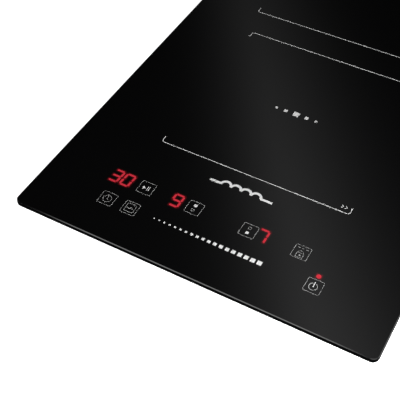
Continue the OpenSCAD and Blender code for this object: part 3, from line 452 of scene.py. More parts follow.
def make_glass():
    """The glass slab: a polished top and bevel over a ground edge."""
    bevel = 0.5 * MM
    arris = 0.03 * MM
    foot = 0.1 * MM
    corner_radius = 5.2 * MM
    z0, z1 = glass_lo.z, glass_hi.z
    profile = [
        (foot, z0), (0.3 * foot, z0 + 0.3 * foot), (0, z0 + foot),
        (0, z1 - bevel - arris), (0.3 * arris, z1 - bevel),
        (bevel, z1 - 0.3 * arris), (bevel + arris, z1),
    ]
    ground_levels = 3
    levels = [rounded_level(glass_hi.x - inset, glass_hi.y - inset, corner_radius - inset, z)
              for inset, z in profile]
    bm = loft_part(levels, capped=True)
    bm.faces.ensure_lookup_table()
    for face in bm.faces[:ground_levels * len(levels[0])]:
        face.material_index = 1
    piece = new_piece("glass_slab", bm, ["black_glass", "ground_edge"], "housing", 10)
    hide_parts("glass_plate")


make_glass()


# ---------- parts of pieces ----------

def box_part(low, high):
    (x0, y0, z0), (x1, y1, z1) = low, high
    levels = [[(x0, y0, z), (x1, y0, z), (x1, y1, z), (x0, y1, z)] for z in (z0, z1)]
    return loft_part(levels, capped=True)


def squared_circle(a, power):
    """A point at the angle a of a unit circle, pushed out towards a square by a power below 1."""
    return [math.copysign(abs(f) ** power, f) for f in (math.cos(a), math.sin(a))]


def circle(radius, z, steps):
    """Points of a circle. The radius and the height are numbers, or functions of the angle."""
    spots = []
    for i in range(steps):
        a = math.tau * i / steps
        r, height = (value(a) if callable(value) else value for value in (radius, z))
        spots.append((r * math.cos(a), r * math.sin(a), height))
    return spots


def lathe_part(profile, steps=32):
    """A profile of (radius, height) in millimetres, turned about Z.

    It starts and ends on the axis, or it closes on itself."""
    levels = [circle(radius * MM, z * MM, steps) if radius else [(0, 0, z * MM)] for radius, z in profile]
    return loft_part(levels, loop=len(levels[0]) > 1)


def worked_top_part(radii, height_at, foot, steps=48):
    """A round solid whose top has a height for each radius and angle, over a flat foot."""
    levels = [[(0, 0, height_at(0, 0))]]
    for r in radii:
        levels.append(circle(r, lambda a: height_at(r, a), steps))
    levels += [[(x, y, foot) for x, y, _ in levels[-1]], [(0, 0, foot)]]
    return loft_part(levels)


def tube_part(path, radius, sides=12):
    """A tube along a path. The radius is a number, or a function of the way along and the angle."""
    points = [Vector(p) for p in path]
    levels, across, along = [], None, 0.0
    for i, point in enumerate(points):
        ahead = (points[min(i + 1, len(points) - 1)] - points[max(i - 1, 0)]).normalized()
        across = ahead.orthogonal() if across is None else across - ahead * across.dot(ahead)
        across.normalize()
        side = ahead.cross(across)
        along += (point - points[i - 1]).length if i else 0.0
        level = []
        for k in range(sides):
            a = math.tau * k / sides
            r = radius(along, a) if callable(radius) else radius
            level.append(point + across * (r * math.cos(a)) + side * (r * math.sin(a)))
        levels.append(level)
    return loft_part(levels, capped=True)


def smooth_path(points, steps):
    """A smooth curve through the points, each span cut into steps."""
    points = [Vector(p) for p in points]
    path = []
    for i in range(len(points) - 1):
        a, b, c, d = (points[min(max(i + k, 0), len(points) - 1)] for k in (-1, 0, 1, 2))
        for k in range(steps):
            t = k / steps
            path.append(0.5 * (2 * b + (c - a) * t + (2 * a - 5 * b + 4 * c - d) * t ** 2
                               + (3 * b - a - 3 * c + d) * t ** 3))
    return path + [points[-1]]


def spring_path(x, y, radius, z0, z1, turns, steps):
    """A compression spring's wire: its first and last turns lie flat."""
    flat = 0.8
    path = []
    for i in range(int(turns * steps) + 1):
        turn = i / steps
        rise = min(max((turn - flat) / (turns - 2 * flat), 0.0), 1.0)
        a = math.tau * turn
        path.append((x + radius * math.cos(a), y + radius * math.sin(a), z0 + (z1 - z0) * rise))
    return path


def round_edges(bm, width, segments=2):
    """Rounds every edge of more than 30 degrees."""
    bmesh.ops.dissolve_limit(bm, angle_limit=math.radians(1), verts=bm.verts, edges=bm.edges)
    sharp = [e for e in bm.edges if len(e.link_faces) == 2 and e.calc_face_angle(0) > math.radians(30)]
    bmesh.ops.bevel(bm, geom=sharp, offset=width, offset_type="OFFSET", segments=segments, profile=0.5,
                    affect="EDGES", clamp_overlap=True)


class Build:
    """Gathers closed solids of several materials into one piece."""

    def __init__(self):
        self.bm = bmesh.new()
        self.slots = []

    def add(self, part, slot_name, soften=0.0, segments=2, at=None):
        """Adds a part, its edges rounded by this many millimetres."""
        if soften:
            round_edges(part, soften * MM, segments)
        if at is not None:
            bmesh.ops.transform(part, matrix=at, verts=part.verts)
        if slot_name not in self.slots:
            self.slots.append(slot_name)
        for face in part.faces:
            face.material_index = self.slots.index(slot_name)
        mesh = bpy.data.meshes.new("part")
        part.to_mesh(mesh)
        part.free()
        self.bm.from_mesh(mesh)
        bpy.data.meshes.remove(mesh)

    def box(self, low, high, slot_name, soften=0.0):
        self.add(box_part(low, high), slot_name, soften)

    def piece(self, name, node, body=None, smooth_angle=40):
        """Makes the piece that stands for a CAD node."""
        piece = new_piece(name, self.bm, self.slots, body or nodes[node]["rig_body"], smooth_angle)
        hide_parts(node)
        return piece


def painted_solids(name, slot_names, slot_index, width):
    """A rounded copy of a CAD node. Each separate solid takes a material, chosen from its corners."""
    build = Build()
    build.slots = list(slot_names)
    load_node(build.bm, name)
    for solid, low, high in separate_solids(build.bm):
        for face in solid:
            face.material_index = slot_index(low, high)
    round_edges(build.bm, width * MM)
    return build


def moved(x, y, z):
    return Matrix.Translation((x, y, z))


def facing(spot, direction):
    """Places a part so that its +Z points along the direction."""
    return Matrix.Translation(spot) @ Vector(direction).to_track_quat("Z", "Y").to_matrix().to_4x4()


# ---------- rigid parts with rounded edges ----------

# Parts whose CAD shape is otherwise finished, by the radius of their broken edges in millimetres
EDGE_RADIUS = {
    0.1: "front_mica rear_mica control_board",
    0.12: "power_board filter_board fan_rotor",
    0.15: "digit_displays",
    0.2: "bottom_pan rear_panel side_rails end_rails coil_tray heatsink cover_hinge",
    0.25: "tray_posts control_holder board_fasteners blower_housing air_duct clip_fasteners",
    0.3: "front_coil_carrier rear_coil_carrier blower_cover fan_motor fan_shaft terminal_box cable_gland",
    0.35: "power_transistors terminal_cover clip_front_left clip_front_right clip_rear_left clip_rear_right",
    0.4: "coil_guide_pins front_ferrites rear_ferrites",
    0.7: "power_capacitors",
}

for radius, names in EDGE_RADIUS.items():
    for name in names.split():
        build = painted_solids(name, [slot_of[name]], lambda low, high: 0, radius)
        build.piece("rounded_" + name, name)


# ---------- seal and glue ----------

def make_seal():
    """Foam tape round the underside of the glass, with round corners and a soft lower lip."""
    low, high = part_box("worktop_seal")
    width, corner = 7 * MM, 8 * MM
    lip = 0.5 * MM
    edge = [(0.1 * MM, high.z), (0, high.z - 0.1 * MM), (0, low.z + lip), (0.3 * lip, low.z + 0.3 * lip),
            (lip, low.z)]
    section = edge + [(width / 2, low.z + 0.06 * MM)] + [(width - inset, z) for inset, z in reversed(edge)]
    levels = [rounded_level(high.x - inset, high.y - inset, max(corner - inset, 0.8 * MM), z)
              for inset, z in section]
    build = Build()
    build.add(loft_part(levels, loop=True), "seal_foam")
    build.piece("foam_seal", "worktop_seal", smooth_angle=50)


def bead_part(low, high, seed):
    """A squeezed line of silicone: a flat strip whose edges wander and bulge."""
    long_axis = 0 if high.x - low.x > high.y - low.y else 1
    cross = 1 - long_axis
    half, middle = (high[cross] - low[cross]) / 2, (high[cross] + low[cross]) / 2
    thick = high.z - low.z
    steps = int((high[long_axis] - low[long_axis]) / (4 * MM))
    levels = []
    for i in range(steps + 1):
        t = i / steps
        reach = half * (0.9 + 0.06 * math.sin(i * 0.9 + seed) + 0.04 * math.sin(i * 2.3 + 2 * seed))
        if i in (0, steps):
            reach *= 0.7
        level = []
        for across, up in ((-0.94, 0), (-1, 0.5), (-0.94, 1), (0.94, 1), (1, 0.5), (0.94, 0)):
            spot = [0, 0, low.z + thick * up]
            spot[long_axis] = low[long_axis] + t * (high[long_axis] - low[long_axis])
            spot[cross] = middle + across * reach
            level.append(spot)
        levels.append(level)
    return loft_part(levels, capped=True)


def make_glue():
    build = Build()
    for seed, (low, high) in enumerate(islands("glass_adhesive")):
        build.add(bead_part(low, high, seed), "silicone")
    build.piece("silicone_beads", "glass_adhesive")


make_seal()
make_glue()


# ---------- screws ----------

def screw_head_part(radius, height, recess=0.9 * MM):
    """A domed head with a cross recess, standing on z = 0."""
    slot_half, slot_reach, levels = 0.16 * radius, 0.6 * radius, 12

    def height_at(r, a):
        dome = height * (0.45 + 0.55 * math.sqrt(max(0.0, 1 - (r / radius) ** 2.4)))
        narrow = min(abs(r * math.cos(a)), abs(r * math.sin(a))) - slot_half
        deep = max(0.0, min(1.0, 0.5 - narrow / (0.12 * radius)))
        deep *= max(0.0, min(1.0, (slot_reach - r) / (0.2 * radius)))
        return dome - recess * deep

    radii = [radius * (level / levels) ** 0.9 for level in range(1, levels + 1)]
    return worked_top_part(radii, height_at, 0)


def thread_part(radius, length, pitch=0.8):
    """A shank from z = 0 down, with rolled thread ridges and a blunt end."""
    turns = int(length / pitch)
    profile = [(0, 0)]
    for i in range(turns):
        z = -i * pitch
        profile += [(radius * 0.84, z - 0.02), (radius, z - pitch / 2)]
    profile += [(radius * 0.84, -turns * pitch + 0.05), (radius * 0.6, -length), (0, -length)]
    return lathe_part(profile, 20)


def make_pan_screws():
    """Ten cross-head screws, facing out of the pan's walls."""
    build = Build()
    head_r, head_h = 3 * MM, 1.8 * MM
    for low, high in islands("pan_screws"):
        middle = (low + high) / 2
        axis = 0 if abs(high.x - low.x) > abs(high.y - low.y) else 1
        outward = Vector((0, 0, 0))
        outward[axis] = math.copysign(1, middle[axis])
        seat = middle.copy()
        seat[axis] = (high if outward[axis] > 0 else low)[axis] - outward[axis] * head_h
        build.add(screw_head_part(head_r, head_h), "zinc_screw", at=facing(seat, outward))
        build.add(thread_part(1.5, 5.9), "zinc_screw", at=facing(seat, outward))
    build.piece("cross_head_screws", "pan_screws")


make_pan_screws()


# ---------- springs ----------

def make_springs(name, piece_name, slot_name, wire, steps, sides):
    """A wound spring in the place of each sleeve of the CAD node."""
    build = Build()
    for low, high in islands(name):
        x, y = (low.x + high.x) / 2, (low.y + high.y) / 2
        radius = (high.x - low.x) / 2 - wire
        turns = 4.1 if high.z - low.z < 5.5 * MM else 4.6
        path = spring_path(x, y, radius, low.z + wire, high.z - wire, turns, steps)
        build.add(tube_part(path, wire, sides), slot_name)
    return build.piece(piece_name, name, body="housing")


def squash_with(piece, which, anchor_z):
    """Gives the piece a mesh of its own."""
    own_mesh(piece)


for which in ("front", "rear"):
    node_name = which + "_coil_springs"
    springs = make_springs(node_name, which + "_wound_springs", "spring_steel", 0.6 * MM, 16, 8)
    squash_with(springs, which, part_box(node_name)[0].z)
make_springs("control_springs", "touch_springs", "spring_brass", 0.35 * MM, 14, 6)


# ---------- windings, leads and sensors ----------

def strands(radius, count=7, lay=14 * MM):
    """The outline of a twisted bundle: lobes that turn along the wire."""
    return lambda along, a: radius * (0.93 + 0.07 * math.cos(count * a + math.tau * along / lay))


def make_winding(which):
    """One layer of litz wire wound in a flat spiral, turn beside turn."""
    name = which + "_winding"
    low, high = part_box(name)
    middle_y = (low.y + high.y) / 2
    outer, inner = (high.x - low.x) / 2, 22 * MM
    wire = (high.z - low.z) / 2
    pitch = 3.05 * MM
    flat = pitch * 0.5 / wire
    turns = (outer - inner - pitch) / pitch
    steps, sides = 72, 10
    lay = 11 * MM
    levels, along = [], 0.0
    for i in range(int(turns * steps) + 1):
        turn = i / steps
        a = math.tau * turn
        r = inner + pitch / 2 + pitch * turn
        along += r * math.tau / steps
        level = []
        for k in range(sides):
            b = math.tau * k / sides
            lobe = 0.955 + 0.045 * math.cos(4 * b + math.tau * along / lay)
            out = r + flat * wire * 0.97 * lobe * math.cos(b)
            z = (low.z + high.z) / 2 + wire * lobe * math.sin(b)
            level.append((out * math.cos(a), middle_y + out * math.sin(a), z))
        levels.append(level)
    build = Build()
    build.add(loft_part(levels, capped=True), "copper_litz")
    # Dabs of silicone hold the turns to the carrier
    for degrees in range(20, 380, 60):
        a, reach = math.radians(degrees), outer - 4 * MM
        dab = lathe_part([(0, 0.5), (2.2, 0.42), (3.3, 0.2), (3.6, 0), (0, 0)], 20)
        spot = moved(reach * math.cos(a), middle_y + reach * math.sin(a), high.z - 0.45 * MM)
        build.add(dab, "seal_rubber", at=spot)
    build.piece(which + "_spiral_winding", name)


def make_leads(which, foot, angles):
    """A pair of twisted litz leads, from the board's tabs to the winding's outer turn."""
    low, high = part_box(which + "_winding")
    middle_y = (low.y + high.y) / 2 / MM
    coil_r = (high.x - low.x) / 2 / MM
    winding_z = low.z / MM
    radius = 1.8 * MM
    build = Build()
    for sign, degrees in zip((1, -1), angles):
        a = math.radians(degrees)
        x, y = foot[0] + 3 * sign, foot[1] + 4 * sign
        out, over = coil_r + 5, coil_r + 2.2
        route = [(x, y, 18), (x, y, 28), (x, y, 38),
                 (out * math.cos(a), middle_y + out * math.sin(a), 46.5),
                 (over * math.cos(a), middle_y + over * math.sin(a), winding_z + 2.1)]
        path = smooth_path([Vector(p) * MM for p in route], 12)
        build.add(tube_part(path, strands(radius), 21), "lead_copper")
        crimp = [(1.4, 0), (1.95, 0.3), (1.95, 4.7), (1.4, 5)]
        build.add(lathe_part(crimp, 20), "tinned_brass", at=moved(x * MM, y * MM, 18 * MM))
    piece = build.piece(which + "_twisted_leads", which + "_coil_leads", body="housing")
    squash_with(piece, which, 18 * MM)


def make_sensor(which):
    """A silicone plug round a black temperature bead."""
    name = which + "_sensor"
    build = painted_solids(name, ["sensor_silicone", "black_bead"],
                           lambda low, high: int(high.x - low.x < 6 * MM), 0.25)
    build.piece(which + "_sensor_plug", name)


for which, foot, angles in (("front", (-66, -14), (139, 146)), ("rear", (-78, 60), (204, 212))):
    make_winding(which)
    make_leads(which, foot, angles)
    make_sensor(which)


# ---------- parts on the boards ----------

def can_part(radius, height):
    """A round capacitor's sleeve: rolled in near its foot and rounded over at the top."""
    return lathe_part([(0, 0), (radius * 0.9, 0), (radius, 0.6), (radius, 1.8), (radius * 0.94, 2.3),
                       (radius, 2.9), (radius, height - 0.9), (radius * 0.96, height - 0.3),
                       (radius * 0.86, height), (radius * 0.84, height - 0.3), (0, height - 0.3)], 36)


def can_top_part(radius):
    """The bare end of a capacitor, with its three vent grooves."""
    def height_at(r, a):
        arms = [a - math.tau * k / 3 for k in range(3)]
        off = min(abs(math.sin(arm)) if math.cos(arm) > 0 else 1 for arm in arms)
        return 0.24 * MM - 0.18 * MM * max(0.0, 1 - off * r / (0.35 * MM))

    levels = 8
    radii = [radius * 0.83 * level / levels for level in range(1, levels + 1)]
    return worked_top_part(radii, height_at, -0.1 * MM)


def add_toroid(build, low, high, core_slot, wire=0.55 * MM, turns=30):
    """A ring core with enamelled wire wound round it."""
    middle = (low + high) / 2
    outer = (high.x - low.x) / 2
    inner = outer * 0.47
    ring_r, half = (outer + inner) / 2, (outer - inner) / 2
    tall = (high.z - low.z) / 2
    core = [circle(ring_r + u * (half - 2 * wire), v * (tall - 2 * wire), 48)
            for u, v in ((-1, -1), (1, -1), (1, 1), (-1, 1))]
    build.add(loft_part(core, loop=True), core_slot, soften=1.0, segments=3, at=moved(*middle))
    path, steps = [], 16
    for i in range(turns * steps + 1):
        a = 0.25 + (math.tau - 0.5) * i / (turns * steps)
        b = math.tau * i / steps
        u, v = squared_circle(b, 0.55)
        r = ring_r + (half - wire) * u
        path.append(middle + Vector((r * math.cos(a), r * math.sin(a), (tall - wire) * v)))
    build.add(tube_part(path, wire, 6), "enamelled_copper")


def add_chip(build, low, high):
    """A flat integrated circuit on two rows of bent legs."""
    pitch, leg = 1.27 * MM, 0.4 * MM
    body_low = low + Vector((1.2 * MM, 0, 0.2 * MM))
    body_high = high - Vector((1.2 * MM, 0, 0))
    build.box(body_low, body_high, "epoxy_black", 0.15)
    count = int((high.y - low.y - 1 * MM) / pitch)
    first = (low.y + high.y) / 2 - pitch * (count - 1) / 2
    for i in range(count):
        y = first + pitch * i
        for outer, inner in ((low.x, body_low.x), (high.x, body_high.x)):
            knee = inner + (outer - inner) * 0.35
            for end, z0, z1 in ((outer, 0, 0.2 * MM), (inner, 0.02 * MM, (high.z - low.z) / 2)):
                x0, x1 = sorted((end, knee))
                build.box((x0, y - leg / 2, low.z + z0), (x1, y + leg / 2, low.z + z1), "tinned_brass")


def add_connector(build, low, high):
    """An open nylon header with its row of pins."""
    wall = 0.8 * MM
    long_axis = 0 if high.x - low.x > high.y - low.y else 1
    build.box(low, (high.x, high.y, low.z + 2 * MM), "white_nylon", 0.15)
    for axis in (0, 1):
        for near in (True, False):
            a, b = low.copy(), high.copy()
            a.z = low.z + 1.9 * MM
            if near:
                b[axis] = low[axis] + wall
            else:
                a[axis] = high[axis] - wall
            if axis == 1:
                a.x += wall
                b.x -= wall
            build.box(a, b, "white_nylon", 0.12)
    length = high[long_axis] - low[long_axis]
    count = max(2, int((length - 2 * MM) / (2.5 * MM)))
    for i in range(count):
        spot = (low + high) / 2
        spot[long_axis] = low[long_axis] + length * (i + 0.5) / count
        half = 0.3 * MM
        pin = box_part((spot.x - half, spot.y - half, low.z + 1.5 * MM),
                       (spot.x + half, spot.y + half, high.z - 1.5 * MM))
        build.add(pin, "tinned_brass", soften=0.12, segments=1)


def sized(low, high, *size):
    """Whether a solid measures this many millimetres along X, Y and Z."""
    return all(abs((high[i] - low[i]) / MM - size[i]) < 0.6 for i in range(3))


def make_board_parts():
    build = Build()
    for low, high in islands("board_parts"):
        middle = (low + high) / 2
        if sized(low, high, 13, 13, 22):
            build.add(can_part(6.5, 22), "can_sleeve", at=moved(middle.x, middle.y, low.z))
            end = moved(middle.x, middle.y, high.z - 0.28 * MM)
            build.add(can_top_part(6.5 * MM), "bare_aluminium", at=end)
        elif sized(low, high, 34, 34, 14):
            add_toroid(build, low, high, "iron_powder_core")
        elif sized(low, high, 24, 22, 18):
            build.box(low, high, "yellow_case", 0.6)
        elif sized(low, high, 4, 6, 9):
            half = 0.4 * MM
            build.box((middle.x - half, low.y, low.z), (middle.x + half, high.y, high.z), "tinned_brass", 0.3)
            build.box(low, (high.x, high.y, low.z + 1.2 * MM), "tinned_brass", 0.2)
        elif high.z - low.z < 2 * MM:
            add_chip(build, low, high)
        else:
            add_connector(build, low, high)
    build.piece("mounted_parts", "board_parts")


def make_filter_parts():
    build = Build()
    for low, high in islands("filter_parts"):
        middle = (low + high) / 2
        if sized(low, high, 30, 30, 16):
            add_toroid(build, low, high, "green_core", 0.7 * MM, 22)
        elif sized(low, high, 31, 15, 24):
            build.box(low, high, "yellow_case", 0.8)
        elif high.x - low.x > 20 * MM and high.z - low.z < 9 * MM:
            r, cap, length = 3, 5, (high.x - low.x) / MM
            fuse = [(0, 0), (r, 0), (r, cap), (r * 0.93, cap), (r * 0.93, length - cap), (r, length - cap),
                    (r, length), (0, length)]
            lying = facing((low.x, middle.y, high.z - r * MM), (1, 0, 0))
            build.add(lathe_part(fuse, 28), "fuse_ceramic", at=lying)
            for x in (low.x + 1 * MM, high.x - 4 * MM):
                for y0, y1 in ((low.y, low.y + 0.7 * MM), (high.y - 0.7 * MM, high.y)):
                    build.box((x, y0, low.z), (x + 3 * MM, y1, high.z - r * MM), "tinned_brass", 0.2)
                build.box((x, low.y, low.z), (x + 3 * MM, high.y, low.z + 0.8 * MM), "tinned_brass", 0.2)
        elif sized(low, high, 14, 4, 14):
            disc = [(0, 0), (5.6, 0), (6.6, 0.5), (7, 2), (6.6, 3.5), (5.6, 4), (0, 4)]
            upright = facing((middle.x, low.y, middle.z), (0, 1, 0))
            build.add(lathe_part(disc, 36), "varistor_blue", at=upright)
        elif high.x - low.x > 20 * MM:
            add_connector(build, low, high)
        else:
            build.box(low, high, "tinned_brass", 0.3)
    build.piece("filter_components", "filter_parts")


def make_terminal_block():
    """A five-pole block with brass clamps and screws, beside the cord clamp."""
    def slot_index(low, high):
        if high.x - low.x > 7 * MM:
            return 0
        return 2 if high.z - low.z > 8 * MM else 1

    slot_names = ["terminal_plastic", "tinned_brass", "zinc_screw"]
    build = painted_solids("terminal_block", slot_names, slot_index, 0.25)
    build.piece("five_pole_block", "terminal_block")


make_board_parts()
make_filter_parts()
make_terminal_block()


# ---------- wires ----------

def wire_part(route, radius, sides):
    return tube_part(smooth_path([Vector(p) * MM for p in route], 8), radius * MM, sides)


def make_mains_wires():
    """Brown, blue and earth wires to the terminals, the pan's earth lead on its stud, and the fan's lead."""
    build = Build()
    for x, slot_name in ((-98, "brown_sleeve"), (-89, "blue_sleeve"), (-80, "earth_sleeve")):
        route = [(x, 199.8, 15), (x, 194, 15.4), (x, 188, 15.2), (x, 180.2, 15)]
        build.add(wire_part(route, 1.3, 16), slot_name)
    earth = [(-8, 174.1, 14), (-8, 178, 14), (-8, 184, 16), (-9, 192, 16), (-11, 200, 9), (-12, 205, 5.4)]
    build.add(wire_part(earth, 1.3, 16), "earth_sleeve")
    fan = [(44, 158, 30.7), (34, 146, 31), (24, 132, 29), (16, 116, 28), (14, 107, 22), (14, 107, 16.7)]
    build.add(wire_part(fan, 1.2, 14), "black_sleeve")
    x, y = -12 * MM, 212 * MM
    build.add(thread_part(2, 10, 0.7), "zinc_screw", at=moved(x, y, 10.2 * MM))
    nut = loft_part([circle(3.5 * MM, z * MM, 6) for z in (1.02, 4)], capped=True)
    build.add(nut, "zinc_screw", soften=0.3, at=moved(x, y, 0))
    eyelet = [(2.05, 4.2), (4, 4.2), (4, 5.2), (2.05, 5.2)]
    build.add(lathe_part(eyelet, 32), "tinned_brass", soften=0.2, at=moved(x, y, 0))
    build.piece("sleeved_wires", "mains_wires")


def make_ribbon():
    """A flat cable of sixteen cores: it drops from the control board, runs forward to back and turns down."""
    low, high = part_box("ribbon_cable")
    cores, half_thick = 16, 0.42 * MM
    bend = 3 * MM
    y0, y1, run_z = low.y + 0.5 * MM, high.y - 0.5 * MM, 22.5 * MM
    corners = [Vector(spot) for spot in ((y0, high.z), (y0, run_z), (y1, run_z), (y1, low.z))]
    path = corners[:1]
    for a, b, c in zip(corners, corners[1:], corners[2:]):
        start, end = b + (a - b).normalized() * bend, b + (c - b).normalized() * bend
        for t in (0, 0.2, 0.4, 0.6, 0.8, 1):
            path.append(start * (1 - t) ** 2 + b * 2 * t * (1 - t) + end * t ** 2)
    path.append(corners[-1])
    levels, per_core = [], 4
    columns = cores * per_core
    for i, spot in enumerate(path):
        ahead = (path[min(i + 1, len(path) - 1)] - path[max(i - 1, 0)]).normalized()
        across = Vector((-ahead.y, ahead.x))
        level = []
        for side in (1, -1):
            for k in range(columns + 1)[::side]:
                x = low.x + (high.x - low.x) * k / columns
                thick = half_thick * (0.5 + 0.5 * abs(math.sin(math.pi * k / per_core))) * side
                level.append((x, spot.x + across.x * thick, spot.y + across.y * thick))
        levels.append(level)
    build = Build()
    build.add(loft_part(levels, capped=True), "ribbon_grey")
    build.piece("ribbed_ribbon", "ribbon_cable")


make_mains_wires()
make_ribbon()


# ---------- gland nuts and fan guard ----------

def make_gland_nuts():
    """The hexagonal locknut, the fluted dome nut and the rubber ring that it squeezes."""
    low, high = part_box("gland_nuts")
    x, z = (low.x + high.x) / 2, (low.z + high.z) / 2
    build = Build()
    across, bore, steps = 11.5 * MM, 8.04 * MM, 72

    def hexagonal(inset):
        def radius(a):
            to_flat = across * math.cos(math.pi / 6) / math.cos((a % (math.tau / 6)) - math.pi / 6)
            return min(to_flat, across * 0.985) - inset * MM
        return radius

    levels = [circle(hexagonal(inset), depth * MM, steps)
              for inset, depth in ((0.5, 0), (0, 0.5), (0, 3.5), (0.5, 4))]
    levels += [circle(bore, depth * MM, steps) for depth in (4, 0)]
    build.add(loft_part(levels, loop=True), "gland_plastic", at=facing((x, low.y, z), (0, 1, 0)))

    flutes, length = 12, 9.3

    def fluted(radius, share):
        return lambda a: (radius - 0.55 * share * max(0.0, math.cos(flutes * a)) ** 2) * MM

    profile = [(9.5, 0, 0.5), (10, 0.6, 1), (10, 5.4, 1), (9.7, 6.2, 0.7), (8.6, 8, 0), (7.6, 9, 0),
               (7.1, length, 0), (5.9, length, 0), (5.5, length - 0.4, 0), (5.5, 7.6, 0), (7.9, 7.4, 0),
               (7.9, 0.2, 0), (8.3, 0, 0)]
    levels = [circle(fluted(radius, share), depth * MM, 2 * steps) for radius, depth, share in profile]
    foot = facing((x, high.y - length * MM, z), (0, 1, 0))
    build.add(loft_part(levels, loop=True), "gland_plastic", at=foot)

    grip = [(5.1, 0), (7.7, 0), (7.7, 2.4), (5.1, 2.4)]
    build.add(lathe_part(grip, 48), "seal_rubber", soften=0.4,
              at=facing((x, high.y - (length - 5) * MM, z), (0, 1, 0)))
    build.piece("fluted_gland_nuts", "gland_nuts")


def make_fan_guard():
    """A moulded guard: rounded rings on six rounded spokes, a domed hub and a flange."""
    low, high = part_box("fan_grille")
    x, y = (low.x + high.x) / 2, (low.y + high.y) / 2
    height = high.z - low.z
    build = Build()
    for inner, outer in ((13.1, 14.9), (20.1, 21.9), (27.1, 28.9)):
        middle, half = (inner + outer) / 2, (outer - inner) / 2
        section = []
        for i in range(12):
            u, v = squared_circle(math.tau * i / 12, 0.7)
            section.append((middle + half * u, height / 2 / MM * (1 + v)))
        build.add(lathe_part(section, 72), "fan_plastic", at=moved(x, y, low.z))
    rim = [(36.4, 0.3), (36.7, 0), (38.5, 0), (38.8, 0.3), (38.8, 1), (42.7, 1), (43, 1.3), (43, 1.6),
           (42.7, 1.9), (38.8, 1.9), (38.6, 2.2), (36.7, 2.2), (36.4, 1.9)]
    build.add(lathe_part(rim, 96), "fan_plastic", at=moved(x, y, low.z))
    hub = [(0, 0), (7.3, 0), (7.9, 0.5), (7.9, 1.2), (7, 1.8), (4, 2.15), (0, 2.2)]
    build.add(lathe_part(hub, 48), "fan_plastic", at=moved(x, y, low.z))
    for k in range(6):
        spoke = box_part((7 * MM, -1 * MM, 0.1 * MM), (37 * MM, 1 * MM, height - 0.1 * MM))
        turn = Matrix.Rotation(math.radians(60 * k), 4, "Z")
        build.add(spoke, "fan_plastic", soften=0.5, segments=3, at=moved(x, y, low.z) @ turn)
    build.piece("moulded_fan_guard", "fan_grille")


make_gland_nuts()
make_fan_guard()


# ---------- floor, light and camera ----------

def stage_piece(name, bm, surface, location, rotation=(0, 0, 0)):
    """A piece of the stage. The function surface adds its shader to the material's graph."""
    mesh = bpy.data.meshes.new(name)
    bm.to_mesh(mesh)
    bm.free()
    material = bpy.data.materials.new(name)
    material.use_nodes = True
    material.node_tree.nodes.clear()
    graph = Graph(material.node_tree)
    graph.put("ShaderNodeOutputMaterial", {"Surface": surface(graph).outputs[0]})
    mesh.materials.append(material)
    item = linked(name, mesh, location, rotation)
    return item


def make_floor():
    """A pale disc just under the object, evenly lit out to its rim."""
    def surface(graph):
        return graph.put("ShaderNodeBsdfPrincipled", {
            "Base Color": (0.86, 0.86, 0.86, 1), "Roughness": 0.9, "Specular IOR Level": 0.1,
            "Emission Color": (1, 1, 1, 1), "Emission Strength": 0.95})

    bm = bmesh.new()
    bmesh.ops.create_circle(bm, cap_ends=True, radius=14, segments=96)
    stage_piece("floor", bm, surface, (0, 0, cad_box[0][2] - 0.0002))


def reflection_card(name, location, rotation, half_x, half_y, surface):
    """A luminous card that shows only in reflections."""
    bm = bmesh.new()
    bm.faces.new([bm.verts.new((u * half_x, v * half_y, 0)) for u, v in ((-1, -1), (1, -1), (1, 1), (-1, 1))])
    card = stage_piece(name, bm, surface, location, rotation)
    card.visible_camera = False
    card.visible_diffuse = False
    card.visible_shadow = False


# Distance over which the broad tail of a card's light falls to a third
TAIL_LENGTH = 1.37


def falloff_card(across_left, across_right, power, along, tail=0.0):
    """Emission that falls off across the card, in part as a broad tail, and along it as a quadratic."""
    def surface(graph):
        math_node = graph.math
        u, t = graph.axis(0), graph.axis(1)
        side = math_node("MAXIMUM", math_node("MULTIPLY", u, -1 / across_left),
                         math_node("MULTIPLY", u, 1 / across_right))
        core = math_node("EXPONENT", math_node("MULTIPLY", math_node("POWER", side, power), -1.0))
        skirt = math_node("EXPONENT", math_node("MULTIPLY", math_node("ABSOLUTE", u), -1 / TAIL_LENGTH))
        fall = math_node("ADD", math_node("MULTIPLY", core, 1.02 - tail), math_node("MULTIPLY", skirt, tail))
        a0, a1, a2 = along
        level = math_node("ADD", math_node("MULTIPLY", t, a2), a1)
        level = math_node("ADD", math_node("MULTIPLY", level, t), a0)
        strength = math_node("MULTIPLY", fall, math_node("MAXIMUM", level, 0.0))
        return graph.put("ShaderNodeEmission", {"Strength": strength})
    return surface


def pointing(spot, aim=(0, 0, 0)):
    """The rotation of a card or lamp at the spot that faces the aim."""
    return (Vector(aim) - Vector(spot)).to_track_quat("-Z", "Y").to_euler()


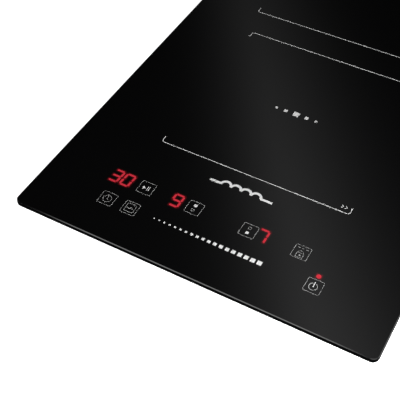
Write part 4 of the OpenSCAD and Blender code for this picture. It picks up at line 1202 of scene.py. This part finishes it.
def make_lights():
    # A strip softbox high behind the glass: its reflection is the slanting light band on the glass
    reflection_card("strip_softbox", (-0.5673, 1.3, glass_top + 1.5), (0, 0, 0.5878), 1.4, 1.3,
                    falloff_card(0.1487, 0.2089, 1.633, (0.331, -0.2837, 0.081), tail=0.1))
    # A low softbox in front: its reflection is the bright line along the front bevel
    spot = Vector((-0.5, -1.6, 0.95))
    reflection_card("front_softbox", spot, pointing(spot, (0.0, -0.26, 0.0575)), 0.9, 0.25,
                    falloff_card(0.385, 0.445, 12, (3.7, 0, 0)))

    # Two soft-edged cards, at the right and at the front right: the faint line round the front right corner
    corner = (0.141, -0.256, 0.058)
    for name, spot, half_x, half_y, peak in (("side_card", (1.2, 0.3, 0.26), 1.1, 0.34, 2.3),
                                             ("corner_card", (0.65, -1.05, 0.64), 0.68, 0.24, 1.8)):
        reflection_card(name, spot, pointing(spot, corner), half_x, half_y,
                        falloff_card(1.5, 1.5, 8, (peak, 0, -peak / half_y ** 2)))

    sun = bpy.data.lights.new("overhead_light", "SUN")
    sun.energy = 0.45
    sun.angle = math.radians(56)
    linked("overhead_light", sun).visible_glossy = False

    for name, spot, size, power, glossy in (("front_fill", (-1.4, -2.2, 1.5), 1.6, 10, True),
                                            ("right_fill", (2.6, -0.6, 1.4), 1.6, 9, True),
                                            ("rear_fill", (0.8, 2.8, 1.2), 1.4, 7, False),
                                            ("near_light", (0.30, -0.45, 0.358), 0.2, 2.7, False)):
        light = bpy.data.lights.new(name, "AREA")
        light.shape = "DISK"
        light.size = size
        light.energy = power
        linked(name, light, spot, pointing(spot)).visible_glossy = glossy

    # The room: pale at the horizon and dark above, as around a table in a studio
    world = bpy.data.worlds.new("room")
    world.use_nodes = True
    bpy.context.scene.world = world
    graph = Graph(world.node_tree)
    height = graph.axis(2, graph.put("ShaderNodeTexCoord", {}).outputs["Generated"])
    ramp = graph.ramp(height, [(0.12, (0.75, 0.75, 0.75)), (0.45, (0.03, 0.03, 0.031))])
    ramp.color_ramp.interpolation = "EASE"
    graph.tree.links.new(ramp.outputs["Color"], graph.tree.nodes["Background"].inputs["Color"])


def make_camera():
    bpy.context.scene.view_settings.view_transform = "Standard"
    camera = bpy.data.cameras.new("camera")
    camera.sensor_width = 36
    camera.lens = 80.507
    place = Matrix.Translation((0.19524, -0.5841, 0.5523))
    azimuth, tilt, roll = 29.1413, 42.19015, -0.11643
    for degrees, axis in ((azimuth, "Z"), (tilt, "X"), (roll, "Z")):
        place = place @ Matrix.Rotation(math.radians(degrees), 4, axis)
    holder = linked("camera", camera)
    holder.matrix_world = place
    bpy.context.scene.camera = holder


make_floor()
make_lights()
make_camera()
